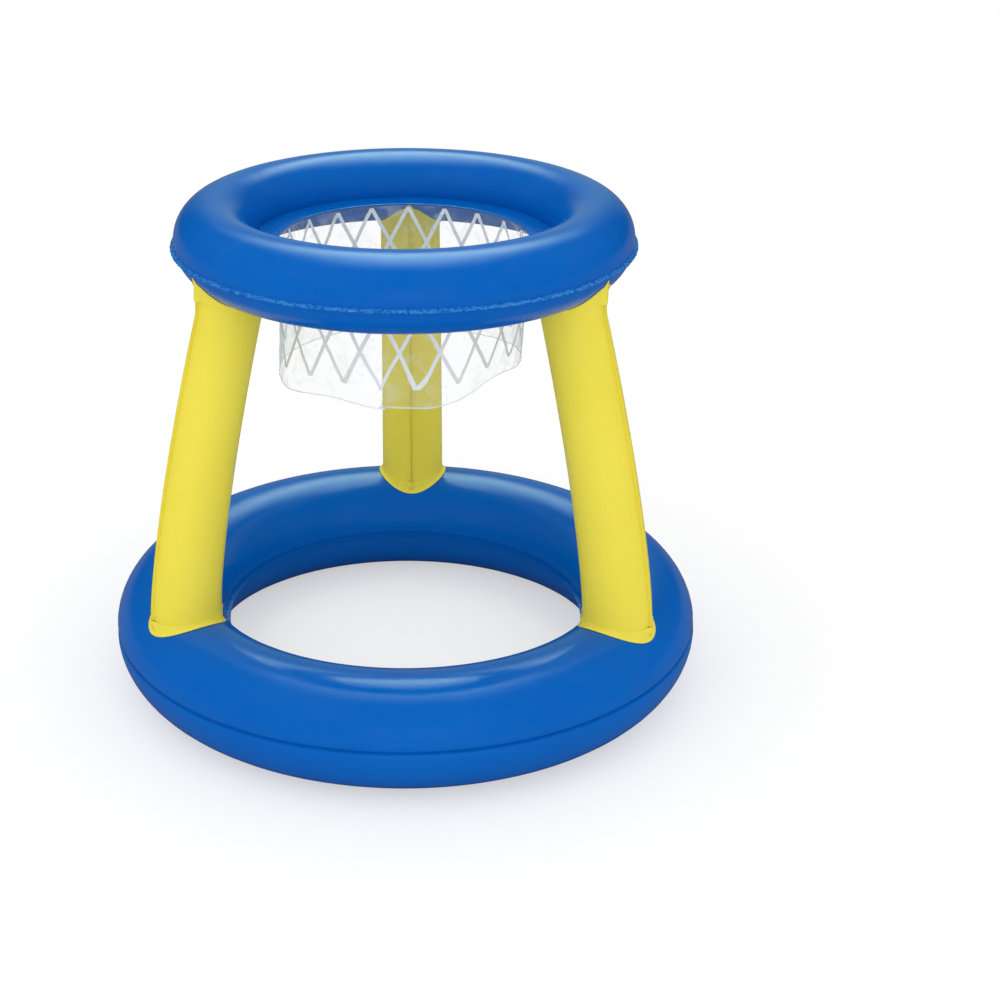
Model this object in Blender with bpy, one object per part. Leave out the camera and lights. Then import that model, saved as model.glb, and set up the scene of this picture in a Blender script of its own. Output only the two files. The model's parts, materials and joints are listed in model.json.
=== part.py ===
"""Floating basketball hoop: two air rings, three air legs, a clear net sleeve and two valves.

Metres, +Z up. The origin is on the floor under the middle of the base ring, and +Y is the back.
Every sheet is a thin skin of its own, and what is welded or seated on another piece keeps GAP to it.
"""

import math
from dataclasses import dataclass

import bmesh
import bpy
from mathutils import Matrix, Vector

# Sheets and clearance
GAP = 0.0003
MERGE_SHARE = 0.01
SKIN = 0.0004
FILM = 0.0003

# Facets of the round pieces
RING_STEPS = 48
ARC_STEPS = 7
LEG_STEPS = 16
SLEEVE_STEPS = 60
VALVE_STEPS = 20

# Base ring
BASE_RADIUS = 0.2454
BASE_TUBE = 0.0562
BASE_OUTER_SEAM = 0.0012
BASE_INNER_SEAM = 0.005

# Top ring, whose seams lie a little under the middle of the tube
TOP_RADIUS = 0.1865
TOP_TUBE = 0.0378
TOP_HEIGHT = 0.4655
TOP_SEAM_DROP = 0.005
TOP_OUTER_SEAM = 0.0035
TOP_INNER_SEAM = 0.0265

# Legs
LEG_AZIMUTHS = (90.0, 210.0, 330.0)
LEG_FOOT_RADIUS = 0.0345
LEG_HEAD_RADIUS = 0.0317
LEG_BOW_POWER_SHARE = 1.35
LEG_EASE_SHARE = 0.96
LEG_SEAM = 0.003
LEG_SEAM_STUB = 0.0002
LEG_SEAM_TAPER = 0.004
LEG_ROW_SHARES = (0.25, 0.5, 0.75, LEG_EASE_SHARE)
PORT_RADIUS = 0.012

# Cuffs that weld the legs to the rings
CUFF_WALL = 0.0006
CUFF_LIP = 0.001
FOOT_CUFF_RISE = 0.0065
FOOT_CUFF_DIP = 0.005
FOOT_CUFF_FLARE = 0.003
HEAD_CUFF_RISE = 0.0045
HEAD_CUFF_DIP = 0.006
HEAD_CUFF_FLARE = 0.002

# Clear net sleeve
SLEEVE_LENGTH = 0.131
SLEEVE_RIM = 0.008
SLEEVE_INSET = 0.0006
SLEEVE_WAVE = 0.0035
SLEEVE_HEM_WAVE = 0.004
SLEEVE_ROW_SHARES = (0.0, 0.2, 0.45, 0.7, 0.86, 1.0)
WAVE_COUNTS_AND_TURNS = ((5, 0.6), (8, 2.1), (3, 4.0))
WAVE_HEIGHT_SHARES = (0.5, 0.2, 0.3)
FOLD_AZIMUTH = 266.0
FOLD_HALF_ANGLE = 26.0
FOLD_TURN_SHARE = 0.5
FOLD_DEPTH = 0.006
FOLD_PEAK_SHARE = 2.6

# Valves, measured along the valve's own axis from the skin outwards
PLATE_RADIUS = 0.013
PLATE_WALL = 0.001
STEM_RADIUS = 0.0063
STEM_BORE = 0.0039
STEM_LENGTH = 0.0145
COLLAR_RADIUS = 0.008
COLLAR_WALL = 0.0012
FOOT_RADIUS = 0.0082
FOOT_WALL = 0.0012
HEAD_RADIUS = 0.007
HEAD_WALL = 0.002
HEAD_BEVEL = 0.0005
PLUG_LENGTH = 0.0052
PLUG_TIP_RADIUS = 0.0026
STRAP_WALL = 0.0008
STRAP_WIDTH = 0.0042
STRAP_REACH = 0.0105
GRIP_REACH = 0.0095
FLAP_RADIUS = 0.0054
FLAP_WALL = 0.0007
FLAP_REACH = 0.0062
CUT_OVERRUN = 0.002
BASE_VALVE_FACET = (15, 1)
TOP_VALVE_FACET = (9, 1)

BLUE = (0.0, 0.117, 0.527)
YELLOW = (0.807, 0.723, 0.091)
CLEAR = (0.9, 0.93, 0.96)
VALVE_WHITE = (0.75, 0.82, 0.88)


@dataclass(frozen=True)
class Ring:
    """One air ring: its centre line, its tube and the weld seams that stand out of it."""

    radius: float
    height: float
    tube: float
    seam_drop: float
    outer_seam: float
    inner_seam: float

    @property
    def crown(self):
        """Height of the tube's top facet."""
        return self.height + self.tube * math.cos(self.arc_step(1) / 2)

    @property
    def keel(self):
        """Height of the tube's bottom facet."""
        return self.height - self.tube * math.cos(self.arc_step(-1) / 2)

    def arc_start(self, side):
        """Angle round the tube at which a sheet leaves its outer seam; side is 1 above and -1 below."""
        rise = side * (GAP / 2 + SKIN) - self.seam_drop
        return math.asin(rise / self.tube)

    def arc_step(self, side):
        """Angle of one facet round the tube."""
        return (math.pi - 2 * side * self.arc_start(side)) / ARC_STEPS

    def arc(self, side, offset=0.0):
        """Points of a sheet from its outer seam to its inner seam, with each facet moved out by offset."""
        reach = self.tube + offset / math.cos(self.arc_step(side) / 2)
        start = self.arc_start(side)
        angles = [start + side * self.arc_step(side) * index for index in range(ARC_STEPS + 1)]
        return [(self.radius + reach * math.cos(a), self.height + reach * math.sin(a)) for a in angles]


def base_ring():
    """The ring on the floor: its bottom facet is the flat that the hoop rests on."""
    level = Ring(BASE_RADIUS, 0.0, BASE_TUBE, 0.0, BASE_OUTER_SEAM, BASE_INNER_SEAM)
    return Ring(BASE_RADIUS, -level.keel, BASE_TUBE, 0.0, BASE_OUTER_SEAM, BASE_INNER_SEAM)


def top_ring():
    """The ring that the ball drops through."""
    return Ring(TOP_RADIUS, TOP_HEIGHT, TOP_TUBE, TOP_SEAM_DROP, TOP_OUTER_SEAM, TOP_INNER_SEAM)


def clear_scene():
    """Remove every object of the open scene."""
    for item in list(bpy.data.objects):
        bpy.data.objects.remove(item, do_unlink=True)


def plastic(name, colour, roughness, alpha=1.0):
    """A plain soft PVC material."""
    material = bpy.data.materials.new(name)
    material.use_nodes = True
    shader = material.node_tree.nodes["Principled BSDF"]
    shader.inputs["Base Color"].default_value = (*colour, 1.0)
    shader.inputs["Roughness"].default_value = roughness
    shader.inputs["Metallic"].default_value = 0.0
    shader.inputs["Alpha"].default_value = alpha
    return material


def add_object(name, shape, colour, roughness=0.25, alpha=1.0, matrix=None):
    """Turn a bmesh into a smooth-shaded object with its own material."""
    bmesh.ops.remove_doubles(shape, verts=shape.verts, dist=GAP * MERGE_SHARE)
    bmesh.ops.recalc_face_normals(shape, faces=shape.faces)
    mesh = bpy.data.meshes.new(name)
    shape.to_mesh(mesh)
    shape.free()
    mesh.shade_smooth()
    mesh.set_sharp_from_angle(angle=math.radians(40))
    mesh.materials.append(plastic(name, colour, roughness, alpha))
    item = bpy.data.objects.new(name, mesh)
    item.matrix_world = matrix or Matrix.Identity(4)
    bpy.context.scene.collection.objects.link(item)
    return item


def as_guide(item):
    """Mark an object as a cutter that isn't part of the model."""
    item.hide_render = True
    item.display_type = "WIRE"
    return item


def combine(item, other, operation):
    """Join, cut or trim an object by a guide."""
    modifier = item.modifiers.new(operation.title(), "BOOLEAN")
    modifier.operation = operation
    modifier.solver = "EXACT"
    modifier.object = as_guide(other)


def spin_profile(points, steps):
    """Turn a closed profile of (radius, height) points once round Z."""
    shape = bmesh.new()
    corners = [shape.verts.new((radius, 0.0, height)) for radius, height in points]
    edges = [shape.edges.new((corners[i - 1], corners[i])) for i in range(len(corners))]
    bmesh.ops.spin(shape, geom=corners + edges, cent=(0, 0, 0), axis=(0, 0, 1), dvec=(0, 0, 0),
                   angle=2 * math.pi, steps=steps, use_merge=True)
    return shape


def spin_solid(points, steps):
    """Turn an open profile that starts and ends on the axis once round Z."""
    shape = bmesh.new()
    corners = [shape.verts.new((radius, 0.0, height)) for radius, height in points]
    edges = [shape.edges.new(pair) for pair in zip(corners, corners[1:])]
    bmesh.ops.spin(shape, geom=corners + edges, cent=(0, 0, 0), axis=(0, 0, 1), dvec=(0, 0, 0),
                   angle=2 * math.pi, steps=steps, use_merge=True)
    return shape


def loft(loops, closed_path):
    """Skin closed loops of points one after another, round a closed path or with a cap at each end."""
    shape = bmesh.new()
    rows = [[shape.verts.new(point) for point in loop] for loop in loops]
    pairs = list(zip(rows, rows[1:]))
    if closed_path:
        pairs.append((rows[-1], rows[0]))
    else:
        shape.faces.new(rows[0])
        shape.faces.new(rows[-1])
    for near, far in pairs:
        for index in range(len(near)):
            shape.faces.new((near[index - 1], near[index], far[index], far[index - 1]))
    return shape


def box(low, high):
    """A plain box between two corners."""
    shape = bmesh.new()
    size = Vector(high) - Vector(low)
    middle = (Vector(high) + Vector(low)) / 2
    place = Matrix.Translation(middle) @ Matrix.Diagonal((*size, 1.0))
    bmesh.ops.create_cube(shape, size=1.0, matrix=place)
    return shape


def cylinder(radius, low, high, steps):
    """A plain round bar along Z."""
    shape = bmesh.new()
    middle = Matrix.Translation((0, 0, (low + high) / 2))
    bmesh.ops.create_cone(shape, cap_ends=True, segments=steps, radius1=radius, radius2=radius,
                          depth=high - low, matrix=middle)
    return shape


def spin_ring(profile):
    """Turn a ring's profile once round Z, with the middle of a facet towards each leg."""
    shape = spin_profile(profile, RING_STEPS)
    shape.transform(Matrix.Rotation(math.pi / RING_STEPS, 4, "Z"))
    return shape


def ring_body(name, ring, offset):
    """A guide with the facets of both sheets of a ring, moved out by offset."""
    upper = ring.arc(1, offset)
    lower = ring.arc(-1, offset)
    return add_object(name, spin_ring(upper + lower[::-1]), BLUE)


def ring_sheet(name, ring, side):
    """One of the two sheets of a ring: half a tube with a flat weld seam inside and outside."""
    face = ring.height - ring.seam_drop + side * GAP / 2
    back = face + side * SKIN
    outer_tip = ring.radius + ring.tube + ring.outer_seam
    inner_tip = ring.radius - ring.tube - ring.inner_seam
    outside = ring.arc(side)
    inside = ring.arc(side, -SKIN)
    inside[0] = (inside[0][0], face)
    inside[-1] = (inside[-1][0], face)
    outer_edge = [(outer_tip, face), (outer_tip, back)]
    inner_edge = [(inner_tip, back), (inner_tip, face)]
    profile = [*outer_edge, *outside, *inner_edge, *inside[::-1]]
    return add_object(name, spin_ring(profile), BLUE)


def bow_share(share):
    """Share of a leg's lean at a share of its free length: it ends upright at the head cuff."""
    if share <= LEG_EASE_SHARE:
        return max(share, 0.0) ** LEG_BOW_POWER_SHARE
    past = min(share, 1.0) - LEG_EASE_SHARE
    slope = LEG_BOW_POWER_SHARE * LEG_EASE_SHARE ** (LEG_BOW_POWER_SHARE - 1)
    eased = past - past ** 2 / (2 * (1 - LEG_EASE_SHARE))
    return LEG_EASE_SHARE ** LEG_BOW_POWER_SHARE + slope * eased


@dataclass(frozen=True)
class LegLine:
    """A leg's centre line and radius by height: upright in both cuffs and bowed inwards between them."""

    low: float
    high: float
    foot: float
    head: float
    lean: float

    def share(self, height):
        """How far up the free stretch a height lies."""
        return (height - self.low) / (self.high - self.low)

    def centre(self, height):
        """Distance of the leg's centre from the hoop's axis."""
        return BASE_RADIUS - self.lean * bow_share(self.share(height))

    def radius(self, height):
        """Radius of the tube at a height."""
        share = min(max(self.share(height), 0), 1)
        return LEG_FOOT_RADIUS + (LEG_HEAD_RADIUS - LEG_FOOT_RADIUS) * share


def leg_line(base, top):
    """The line of a leg that stands on the base ring and carries the top ring."""
    low = base.crown + FOOT_CUFF_RISE
    high = top.keel - HEAD_CUFF_RISE
    lean = (base.radius - top.radius) / bow_share(1.0)
    return LegLine(low, high, base.height, top.height, lean)


def leg_point(line, azimuth, height, angle, radius):
    """A point on a leg's section; angle 0 looks away from the hoop's axis."""
    outward = line.centre(height) + radius * math.cos(angle)
    sideways = radius * math.sin(angle)
    turn = Matrix.Rotation(math.radians(azimuth), 4, "Z")
    return turn @ Vector((outward, sideways, height))


def panel_section(line, azimuth, height, side, seam):
    """Closed outline of one leg panel at a height, with its two seam fins."""
    radius = line.radius(height)
    face = GAP / 2
    back = face + SKIN
    steps = LEG_STEPS // 2
    start = math.asin(back / radius)
    inner_radius = radius - SKIN / math.cos(math.pi / LEG_STEPS)
    inner_start = math.asin(face / inner_radius)
    angles = [start + (math.pi - 2 * start) * index / steps for index in range(steps + 1)]
    inner_angles = [inner_start, *angles[1:-1], math.pi - inner_start]
    tip = radius + seam
    outline = [(tip, face), (tip, back)]
    outline += [(radius * math.cos(a), radius * math.sin(a)) for a in angles]
    outline += [(-tip, back), (-tip, face)]
    outline += [(inner_radius * math.cos(a), inner_radius * math.sin(a)) for a in inner_angles[::-1]]
    turn = Matrix.Rotation(math.radians(azimuth), 4, "Z")
    return [turn @ Vector((line.centre(height) + out, side * aside, height)) for out, aside in outline]


def leg_panel(name, line, azimuth, side, seats):
    """One long panel of a leg, cut to the rings at both ends."""
    first = line.low + LEG_SEAM_TAPER
    last = line.high - LEG_SEAM_TAPER
    middle = [line.low + (line.high - line.low) * share for share in LEG_ROW_SHARES]
    heights = [line.foot, line.low, first, *middle, last, line.high, line.head]
    loops = []
    for height in heights:
        seam = LEG_SEAM if first <= height <= last else LEG_SEAM_STUB
        loops.append(panel_section(line, azimuth, height, side, seam))
    panel = add_object(name, loft(loops, False), YELLOW)
    for seat in seats:
        combine(panel, seat, "DIFFERENCE")
    return panel


def cuff(name, line, azimuth, ring, side, rise, dip, flare, seat):
    """The cuff that welds a leg to a ring: a band round the leg with a flared lip on the ring's skin."""
    crown = ring.crown if side > 0 else ring.keel

    def surface(point):
        across = math.hypot(point.x, point.y) - ring.radius
        return ring.height + side * math.sqrt(max((ring.tube + GAP) ** 2 - across ** 2, 0.0))

    loops = []
    for index in range(LEG_STEPS):
        angle = 2 * math.pi * index / LEG_STEPS
        edge = crown + side * (rise - GAP - dip * math.cos(angle) ** 2)
        inner = line.radius(edge) + LEG_SEAM_STUB + GAP
        outer = inner + CUFF_WALL
        lip = outer + flare
        lip_base = leg_point(line, azimuth, crown, angle, lip)
        band_base = leg_point(line, azimuth, crown, angle, outer)
        loops.append([
            leg_point(line, azimuth, ring.height, angle, inner),
            leg_point(line, azimuth, ring.height, angle, lip),
            leg_point(line, azimuth, surface(lip_base) + side * CUFF_LIP, angle, lip),
            leg_point(line, azimuth, surface(band_base) + side * 2 * CUFF_LIP, angle, outer),
            leg_point(line, azimuth, edge, angle, outer),
            leg_point(line, azimuth, edge, angle, inner),
        ])
    band = add_object(name, loft(loops, True), YELLOW)
    combine(band, seat, "DIFFERENCE")
    return band


def sleeve_point(angle, share, radius, top):
    """A point of the hanging film: soft waves that grow towards the hem, and one deep fold at the front."""
    wave = 0.0
    for (count, turn), height_share in zip(WAVE_COUNTS_AND_TURNS, WAVE_HEIGHT_SHARES):
        wave += height_share * math.cos(count * angle + turn)
    half = math.radians(FOLD_HALF_ANGLE)
    across = (angle - math.radians(FOLD_AZIMUTH)) / half
    turned = 0.0
    pushed = 0.0
    if abs(across) < 1:
        turned = -half * FOLD_TURN_SHARE * math.sin(math.pi * across)
        pushed = -FOLD_DEPTH * FOLD_PEAK_SHARE * across * (1 - across ** 2)
    grown = share ** 1.5
    reach = radius + grown * (SLEEVE_WAVE * wave + pushed)
    heading = angle + grown * turned
    drop = share * (SLEEVE_LENGTH + SLEEVE_HEM_WAVE * wave)
    return Vector((reach * math.cos(heading), reach * math.sin(heading), top - drop))


def net_sleeve(name, top_ring_of_hoop):
    """The clear printed film that hangs from the inner weld seam of the top ring."""
    ring = top_ring_of_hoop
    opening = ring.radius - ring.tube - ring.inner_seam
    radius = opening - SLEEVE_INSET
    top = ring.height - ring.seam_drop - GAP / 2 - SKIN - GAP - FILM / 2
    angles = [2 * math.pi * index / SLEEVE_STEPS for index in range(SLEEVE_STEPS)]
    shape = bmesh.new()
    rim = radius + SLEEVE_RIM
    rows = [[shape.verts.new((rim * math.cos(a), rim * math.sin(a), top)) for a in angles]]
    for share in SLEEVE_ROW_SHARES:
        rows.append([shape.verts.new(sleeve_point(a, share, radius, top)) for a in angles])
    for upper, lower in zip(rows, rows[1:]):
        for index in range(SLEEVE_STEPS):
            shape.faces.new((lower[index - 1], lower[index], upper[index], upper[index - 1]))
    sleeve = add_object(name, shape, CLEAR, roughness=0.1, alpha=0.3)
    wall = sleeve.modifiers.new("Wall", "SOLIDIFY")
    wall.thickness = FILM
    wall.offset = 0.0
    wall.use_even_offset = True
    return sleeve


def facet_frame(ring, facet):
    """Frame on the middle of an upper-sheet facet: X up the skin, Z out of it."""
    turn_index, arc_index = facet
    step = 2 * math.pi / RING_STEPS
    first, second = ring.arc(1)[arc_index:arc_index + 2]
    flatten = math.cos(step / 2)
    middle = Vector(((first[0] + second[0]) / 2 * flatten, 0.0, (first[1] + second[1]) / 2))
    along = Vector(((second[0] - first[0]) * flatten, 0.0, second[1] - first[1])).normalized()
    outward = Vector((along.z, 0.0, -along.x))
    side = outward.cross(along)
    local = Matrix((along, side, outward)).transposed().to_4x4()
    turn = Matrix.Rotation(step * turn_index, 4, "Z")
    return turn @ Matrix.Translation(middle) @ local


def valve_plate(name, ring, frame):
    """The weld disc of a valve, dished to the inside of the ring's skin, with a hole for the stem."""
    shape = cylinder(PLATE_RADIUS, -PLATE_RADIUS, PLATE_RADIUS, VALVE_STEPS)
    plate = add_object(name, shape, VALVE_WHITE, matrix=frame)
    outside = -SKIN - GAP
    combine(plate, ring_body(name + "_outside", ring, outside), "INTERSECT")
    combine(plate, ring_body(name + "_inside", ring, outside - PLATE_WALL), "DIFFERENCE")
    hole = cylinder(STEM_RADIUS + GAP, -2 * PLATE_RADIUS, 2 * PLATE_RADIUS, VALVE_STEPS)
    combine(plate, add_object(name + "_hole", hole, VALVE_WHITE, matrix=frame), "DIFFERENCE")
    return plate


def valve_stem(name, frame):
    """The stem that is pushed in after inflating: a bore, a collar with a lug, and a foot that stops it."""
    foot_top = GAP - STEM_LENGTH
    foot_base = foot_top - FOOT_WALL
    collar_top = GAP + COLLAR_WALL
    profile = [
        (STEM_BORE, foot_base), (FOOT_RADIUS, foot_base), (FOOT_RADIUS, foot_top), (STEM_RADIUS, foot_top),
        (STEM_RADIUS, GAP), (COLLAR_RADIUS, GAP), (COLLAR_RADIUS, collar_top), (STEM_BORE, collar_top),
    ]
    stem = add_object(name, spin_profile(profile, VALVE_STEPS), VALVE_WHITE, matrix=frame)
    lug = box((STEM_RADIUS, -STRAP_WIDTH / 2, GAP), (STRAP_REACH, STRAP_WIDTH / 2, collar_top))
    combine(stem, add_object(name + "_lug", lug, VALVE_WHITE, matrix=frame), "UNION")
    return stem


def valve_stopper(name, frame):
    """The plug on its strap; its origin is on the bending line of the strap."""
    under = 2 * GAP + COLLAR_WALL
    hinge_height = GAP + COLLAR_WALL + GAP / 2
    tip = under - PLUG_LENGTH
    top = under + HEAD_WALL
    profile = [
        (0.0, tip), (PLUG_TIP_RADIUS, tip), (STEM_BORE - GAP, under), (HEAD_RADIUS, under),
        (HEAD_RADIUS, top - HEAD_BEVEL), (HEAD_RADIUS - HEAD_BEVEL, top), (0.0, top),
    ]
    pivot = Vector((STRAP_REACH, 0.0, hinge_height))
    back = Matrix.Translation(-pivot)
    plug = spin_solid(profile, VALVE_STEPS)
    plug.transform(back)
    strap = box((-GRIP_REACH, -STRAP_WIDTH / 2, under), (STRAP_REACH, STRAP_WIDTH / 2, under + STRAP_WALL))
    strap.transform(back)
    place = frame @ Matrix.Translation(pivot)
    stopper = add_object(name, plug, VALVE_WHITE, matrix=place)
    combine(stopper, add_object(name + "_strap", strap, VALVE_WHITE, matrix=place), "UNION")
    return stopper


def valve_flap(name, frame):
    """The check flap under the stem's foot; its origin is on its bending line."""
    top = GAP - STEM_LENGTH - FOOT_WALL - GAP
    pivot = Vector((FLAP_REACH, 0.0, top + GAP / 2))
    back = Matrix.Translation(-pivot)
    disc = cylinder(FLAP_RADIUS, top - FLAP_WALL, top, VALVE_STEPS)
    disc.transform(back)
    tab = box((0.0, -STRAP_WIDTH / 2, top - FLAP_WALL), (FLAP_REACH, STRAP_WIDTH / 2, top))
    tab.transform(back)
    place = frame @ Matrix.Translation(pivot)
    flap = add_object(name, disc, VALVE_WHITE, matrix=place)
    combine(flap, add_object(name + "_tab", tab, VALVE_WHITE, matrix=place), "UNION")
    return flap


def valve(prefix, ring, sheet, facet):
    """A push-in valve on one facet of a ring's upper sheet."""
    frame = facet_frame(ring, facet)
    hole = cylinder(STEM_RADIUS + GAP, -CUT_OVERRUN, CUT_OVERRUN, VALVE_STEPS)
    combine(sheet, add_object(prefix + "_skin_hole", hole, VALVE_WHITE, matrix=frame), "DIFFERENCE")
    valve_plate(prefix + "_plate", ring, frame)
    valve_stem(prefix + "_stem", frame)
    valve_stopper(prefix + "_stopper", frame)
    valve_flap(prefix + "_flap", frame)


def legs(base, top, base_skin):
    """Three legs, each of two panels and two cuffs, with an air port in the base ring under each."""
    line = leg_line(base, top)
    base_seat = ring_body("base_seat", base, GAP)
    top_seat = ring_body("top_seat", top, GAP)
    for place, azimuth in zip(("back", "left", "right"), LEG_AZIMUTHS):
        name = place + "_leg"
        leg_panel(name + "_panel_a", line, azimuth, 1, (base_seat, top_seat))
        leg_panel(name + "_panel_b", line, azimuth, -1, (base_seat, top_seat))
        cuff(name + "_foot_cuff", line, azimuth, base, 1,
             FOOT_CUFF_RISE, FOOT_CUFF_DIP, FOOT_CUFF_FLARE, base_seat)
        cuff(name + "_head_cuff", line, azimuth, top, -1,
             HEAD_CUFF_RISE, HEAD_CUFF_DIP, HEAD_CUFF_FLARE, top_seat)
        turn = Matrix.Rotation(math.radians(azimuth), 4, "Z")
        port = cylinder(PORT_RADIUS, -CUT_OVERRUN, CUT_OVERRUN, VALVE_STEPS)
        foot = turn @ Matrix.Translation((base.radius, 0.0, base.crown))
        combine(base_skin, add_object(name + "_port", port, BLUE, matrix=foot), "DIFFERENCE")


def main():
    """Build the hoop."""
    clear_scene()
    base = base_ring()
    top = top_ring()
    base_skin = ring_sheet("base_ring_upper_sheet", base, 1)
    ring_sheet("base_ring_lower_sheet", base, -1)
    top_skin = ring_sheet("top_ring_upper_sheet", top, 1)
    ring_sheet("top_ring_lower_sheet", top, -1)
    legs(base, top, base_skin)
    net_sleeve("net_sleeve", top)
    valve("base_valve", base, base_skin, BASE_VALVE_FACET)
    valve("top_valve", top, top_skin, TOP_VALVE_FACET)


main()
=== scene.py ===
"""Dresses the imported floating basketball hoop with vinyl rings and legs, a clear net sleeve and valves.

Metres, +Z up, +Y towards the single back leg. The sizes repeat the CAD model's, with finer surfaces.
"""

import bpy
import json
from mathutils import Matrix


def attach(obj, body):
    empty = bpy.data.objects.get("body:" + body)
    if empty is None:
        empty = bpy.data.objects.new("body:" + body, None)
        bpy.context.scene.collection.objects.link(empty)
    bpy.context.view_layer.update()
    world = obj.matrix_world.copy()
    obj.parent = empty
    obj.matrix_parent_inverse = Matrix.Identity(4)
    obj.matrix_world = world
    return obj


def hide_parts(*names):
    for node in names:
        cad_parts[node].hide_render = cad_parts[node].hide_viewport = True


bl_info = {
    "name": "Floating basketball hoop",
    "version": (1, 0, 0),
    "blender": (4, 5, 0),
    "location": "View3D > Sidebar > Hoop",
    "description": "Makes the sheets, legs, net sleeve, valves and studio of an inflatable pool hoop",
    "category": "Add Mesh",
}

import json
import math
from functools import partial

import bmesh
import bpy
import numpy as np
from bpy.props import FloatProperty, FloatVectorProperty, IntProperty, PointerProperty
from bpy.types import Operator, Panel, PropertyGroup
from mathutils import Matrix, Vector

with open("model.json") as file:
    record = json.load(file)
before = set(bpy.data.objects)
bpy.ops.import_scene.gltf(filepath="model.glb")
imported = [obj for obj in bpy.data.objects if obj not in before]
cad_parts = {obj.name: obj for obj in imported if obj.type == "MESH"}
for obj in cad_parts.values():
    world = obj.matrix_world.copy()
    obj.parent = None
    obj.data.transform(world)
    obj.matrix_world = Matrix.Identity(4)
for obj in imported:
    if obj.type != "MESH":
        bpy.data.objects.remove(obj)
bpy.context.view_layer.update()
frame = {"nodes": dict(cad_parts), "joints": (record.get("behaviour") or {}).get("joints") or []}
JOINTS = {joint["name"]: joint for joint in frame["joints"]}

# Sheets and clearance, as in the CAD model
GAP = 0.0003
SKIN = 0.0004
FILM = 0.0003
CUFF_WALL = 0.0007

# Flat faces across one ring sheet of the CAD model
CAD_FLATS = 7

# Legs by name, with the azimuth at which each stands
LEG_AZIMUTHS = {"back": 90.0, "left": 210.0, "right": 330.0}

# Facets of the round pieces
RING_AROUND = {"base_ring": 880, "top_ring": 720}
RING_ARC = 26
LEG_ARC = 56
LEG_ROWS = 150
CUFF_AROUND = 128
SLEEVE_AROUND = 420
SLEEVE_ROWS = 88
RIM_ROWS = 4
TURNED_AROUND = 72
GRIP_TIP_FACETS = 10
LINE_FACETS = (4, 90)
WELD_RING_ROWS = 17
FLOOR_AROUND = 96

# Points across an outer weld, a plain inner weld and the top ring's wide flange
LIP_POINTS = 3
INNER_LIP_POINTS = 6
FLANGE_POINTS = 22

# Distances from a weld at which the fine rows of a ring sheet lie
WELD_RUNS = (0.0, 0.0004, 0.0009, 0.0015, 0.0023, 0.0034, 0.005, 0.0075)

# Where the ribs lie across the flange: the first in metres, the others in shares of its width
FIRST_RIB = 0.0015
RIB_SHARES = (0.7, 0.82, 0.94)

# Heading in degrees at which the base ring's weld climbs highest
WELD_CLIMB_HEADING = 300.0

# How far out on the weld fin the points beyond each end of a leg panel's arc lie
FIN_SHARES = {-2: 1.0, -1: 0.5, LEG_ARC + 1: 0.5, LEG_ARC + 2: 1.0}

# Soft dents by a leg's foot and head: depth, dents round the leg, and how they rise and fade from the cuff
FOOT_DENT = (0.0004, 9, 0.006, 0.018)
HEAD_DENT = (0.0005, 7, 0.006, 0.02)

# How far along the skin a cuff needs to come back down from a fin, and how far a cuff's lip stands out
FIN_FADE = 0.0035
FOOT_CUFF_FLARE = 0.003
HEAD_CUFF_FLARE = 0.002

# Rounding and height of a cuff's lip, and the heights over the ring's skin by which it climbs to the band
CUFF_LIP_ROUND = 0.0003
CUFF_LIP_HEIGHT = 0.001
CUFF_CLIMB = (0.0011, 0.0016, 0.0026)

# Bevel of a cuff's free edge, in from its outer side and back from its end
CUFF_BEVEL_IN = 0.0002
CUFF_BEVEL_BACK = 0.0004

# Soft waves round the hem, which add up: part of the depth, number round the sleeve, and shift
HEM_WAVES = ((0.5, 5, 0.6), (0.2, 8, 2.1), (0.3, 3, 4.0))

# The film's front fold, in degrees: its heading and half its width
FOLD_HEADING = 262.0
FOLD_HALF = 20.0

# Brings the fold's curve, x less x cubed, to a height of 1
FOLD_PEAK = 2.6

# Shares of the drop over which the puckers under the weld grow, and over which they fade
PUCKER_GROWTH = 0.015
PUCKER_FADE = 0.09

# How far the film hangs inside the flange that it is welded to, and the depth of its creases
FILM_INSET = 0.0006
CREASE_DEPTH = 0.0005

# Where the hem is drawn up and where it stands out, each as a heading and a spread in degrees
DRAWN_UP = (340.0, 80.0)
STANDING_OUT = (200.0, 55.0)

# How many columns of the lattice a line crosses on its way down
LINE_LEAN = 1.5

# Ink lies this far over the film, and is this thick
INK_LIFT = 0.00012
INK_WALL = 0.00006

# How far a moulded tab's faces lie inside the faces of the round part that it grows from
TAB_INSET = 0.0001
TAB_BEVEL = 0.0002

# How far along its sides each corner of a stem, of its lug and of a stopper is rounded
STEM_ROUND = 0.0005
LUG_ROUND = 0.0003
STOPPER_ROUND = 0.0004

# Grip ribs of a stem: depth, half width, and where they lie in shares of the barrel
RIB_DEPTH = 0.0004
RIB_HALF = 0.0006
GRIP_SHARES = (0.3, 0.5, 0.7)

# A stopper's holding bead: where it starts, stands out most and ends, in shares of the plug's length, and how
# much slimmer the plug is before and after it
BEAD_SHARES = (0.5, 0.62, 0.75)
SLIM_BEFORE = 0.0003
SLIM_AFTER = 0.0004

# The dish in a stopper's head: how far in from the side its slope starts and ends, and its depth
DISH_START = 0.0016
DISH_END = 0.0024
DISH_DEPTH = 0.0006

# The pressed weld round a valve: height of its ridges, how far its edges sink, its lift and its wall
RIDGE_HEIGHT = 0.00035
RIDGE_SINK = 0.0001
RIDGE_LIFT = 0.00005
RIDGE_WALL = 0.0002

# The paper floor: its radius, the greys that matt light, the eye and gloss meet, and what lifts it to white
FLOOR_REACH = 9.0
FLOOR_GREYS = (0.8, 0.5, 0.2)
FLOOR_GLOW = 0.52

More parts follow.
